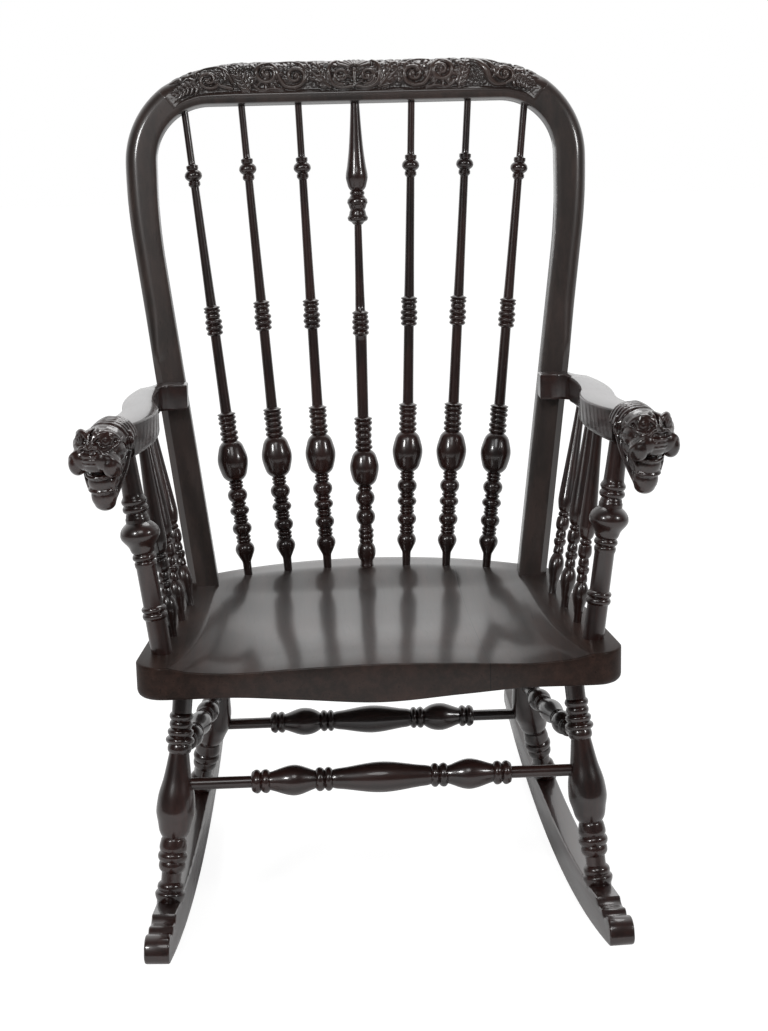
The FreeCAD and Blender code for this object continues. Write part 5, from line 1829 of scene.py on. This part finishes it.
@dataclass
class Studio:
    """Plain pale room: white sweep, soft lamps and the camera of the photograph."""

    bench: Bench
    white: Colour = (1.0, 1.0, 1.0)
    floor_colour: Colour = (0.86, 0.86, 0.86)
    shadow_colour: Colour = (0.30, 0.30, 0.30)
    floor_glow: float = 0.90
    floor_size: float = 6.0
    room: float = 0.40
    room_gleam: float = 0.05
    backdrop_edge: tuple[float, float] = (-0.15, 0.75)
    lamps: tuple = (
        ((-1.7, -2.3, 2.3), 0.6, 32.0), ((2.2, -1.5, 1.9), 0.5, 16.0), ((0.3, 1.2, 2.9), 1.6, 26.0),
        ((-0.1, -2.2, 2.75), 1.2, 13.0))
    lamp_aim: tuple[float, float, float] = (0, 0, 0.5)
    camera_place: tuple[float, float, float] = (-84.0, -2186.2, 715.4)
    camera_yaw: float = 0.0417
    camera_pitch: float = 0.2412
    camera_roll: float = -0.0218
    focal_pixels: float = 1943.8
    picture_width: float = 768.0
    sensor_width: float = 36.0

    def build(self) -> None:
        """Sets up the floor, world, lamps and camera."""
        self.floor()
        self.world()
        for index, (place, width, power) in enumerate(self.lamps):
            data = bpy.data.lights.new(f"soft_lamp_{index}", "AREA")
            data.shape = "DISK"
            data.size = width
            data.energy = power
            lamp = bpy.data.objects.new(f"soft_lamp_{index}", data)
            turn = (Vector(self.lamp_aim) - Vector(place)).to_track_quat("-Z", "Y").to_matrix()
            lamp.matrix_world = Matrix.Translation(place) @ turn.to_4x4()
            bpy.context.scene.collection.objects.link(lamp)
        bpy.context.scene.view_settings.view_transform = "Standard"
        self.camera()

    def camera(self) -> None:
        """Sets the camera where the photograph was taken from, in the seat's frame."""
        yaw, pitch, roll = self.camera_yaw, self.camera_pitch, self.camera_roll
        ahead = Vector((math.sin(yaw) * math.cos(pitch), math.cos(yaw) * math.cos(pitch),
                        -math.sin(pitch)))
        right = Vector((math.cos(yaw), -math.sin(yaw), 0.0))
        up = right.cross(ahead)
        level = right * math.cos(roll) + up * math.sin(roll)
        above = up * math.cos(roll) - right * math.sin(roll)
        turn = self.bench.seat.to_3x3()
        data = bpy.data.cameras.new("photo_camera")
        data.sensor_fit = "HORIZONTAL"
        data.sensor_width = self.sensor_width
        data.lens = self.focal_pixels * self.sensor_width / self.picture_width
        camera = bpy.data.objects.new("photo_camera", data)
        axes = Matrix([turn @ axis for axis in (level, above, -ahead)]).transposed().to_4x4()
        camera.matrix_world = Matrix.Translation(self.bench.on_seat(*self.camera_place)) @ axes
        bpy.context.scene.collection.objects.link(camera)
        bpy.context.scene.camera = camera

    def floor(self) -> None:
        """Lays the pale floor, which glows white for the eye and stays matt for its light."""
        bm = bmesh.new()
        bmesh.ops.create_grid(bm, x_segments=8, y_segments=8, size=self.floor_size)
        mesh = bpy.data.meshes.new("studio_floor")
        bm.to_mesh(mesh)
        bm.free()
        floor = bpy.data.objects.new("studio_floor", mesh)
        bpy.context.scene.collection.objects.link(floor)
        material = bpy.data.materials.new("pale_floor")
        sheet = NodeSheet(material)
        seen = sheet.node("ShaderNodeLightPath")["Is Camera Ray"]
        matt, pale = (sheet.node("ShaderNodeBsdfDiffuse", None, {"Color": colour})["BSDF"]
                      for colour in (self.floor_colour, self.shadow_colour))
        glow = sheet.node("ShaderNodeEmission", None, {
            "Color": self.white, "Strength": self.floor_glow})["Emission"]
        bright = sheet.node("ShaderNodeAddShader", None, {0: pale, 1: glow})["Shader"]
        shader = sheet.node("ShaderNodeMixShader", None, {0: seen, 1: matt, 2: bright})["Shader"]
        sheet.node("ShaderNodeOutputMaterial", None, {"Surface": shader})
        mesh.materials.append(material)

    def world(self) -> None:
        """White backdrop for what the eye sees, and a darker room in front for the reflections."""
        world = bpy.data.worlds.new("studio")
        bpy.context.scene.world = world
        sheet = NodeSheet(world)
        path = sheet.node("ShaderNodeLightPath")
        place = sheet.node("ShaderNodeTexCoord")["Generated"]
        way = sheet.node("ShaderNodeSeparateXYZ", None, {"Vector": place})
        mirrored = way["Y"].between(*self.backdrop_edge) * (1.0 - self.room_gleam) + self.room_gleam
        strength = path["Is Camera Ray"] + path["Is Transmission Ray"]
        strength = strength + path["Is Glossy Ray"] * mirrored + path["Is Diffuse Ray"] * self.room
        light = sheet.node("ShaderNodeBackground", None, {
            "Color": self.white, "Strength": strength})["Background"]
        sheet.node("ShaderNodeOutputWorld", None, {"Surface": light})


def main() -> None:
    """Dresses the frame piece by piece."""
    logging.basicConfig(level=logging.INFO, format="%(message)s")
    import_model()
    bench, hoop = Bench(), Hoop()
    arm = ArmLine(bench, hoop)
    upright = Varnish("upright_turnings", Grain.UP).material()
    across = Varnish("cross_turnings", Grain.ACROSS).material()
    lengthwise = Varnish("lengthwise_pieces", Grain.BACK).material()
    bent = Varnish("bent_hoop_wood", Grain.UP, dark=(0.017, 0.0125, 0.0108),
                   warm=(0.044, 0.0265, 0.022), roughness=0.38, coat=0.8,
                   coat_roughness=0.13).material()
    plank = Varnish("seat_wood", Grain.BACK, dark=(0.013, 0.0085, 0.0070),
                    warm=(0.038, 0.0205, 0.0160), seam=0.1296, roughness=0.42,
                    coat_roughness=0.15, worn=True).material()
    # Carved finish: rubbed wear with a painted highlight on the raised forms, and painted shade on
    # the low ground
    carved = Varnish("carved_wood", Grain.ACROSS, dark=(0.017, 0.0125, 0.0108),
                     warm=(0.044, 0.0245, 0.020), rub_and_highlight=(0.080, 0.053, 0.043), carved=True,
                     roughness=0.28, coat=0.65, coat_roughness=0.08, bump=0.15).material()
    heads = Varnish("head_wood", Grain.BACK, roughness=0.28, coat=1.0).material()
    Turnings(bench, hoop, arm, upright, across, lengthwise).build()
    SeatPlank(bench, plank).build()
    Rockers(bench, lengthwise).build()
    Arms(bench, arm, lengthwise).build()
    frame = BentHoop(bench, hoop, bent)
    frame.build()
    CrestCarving(bench, frame, carved).build()
    BeastHeads(bench, arm, heads).build()
    Studio(bench).build()


if __name__ == "__main__":
    main()
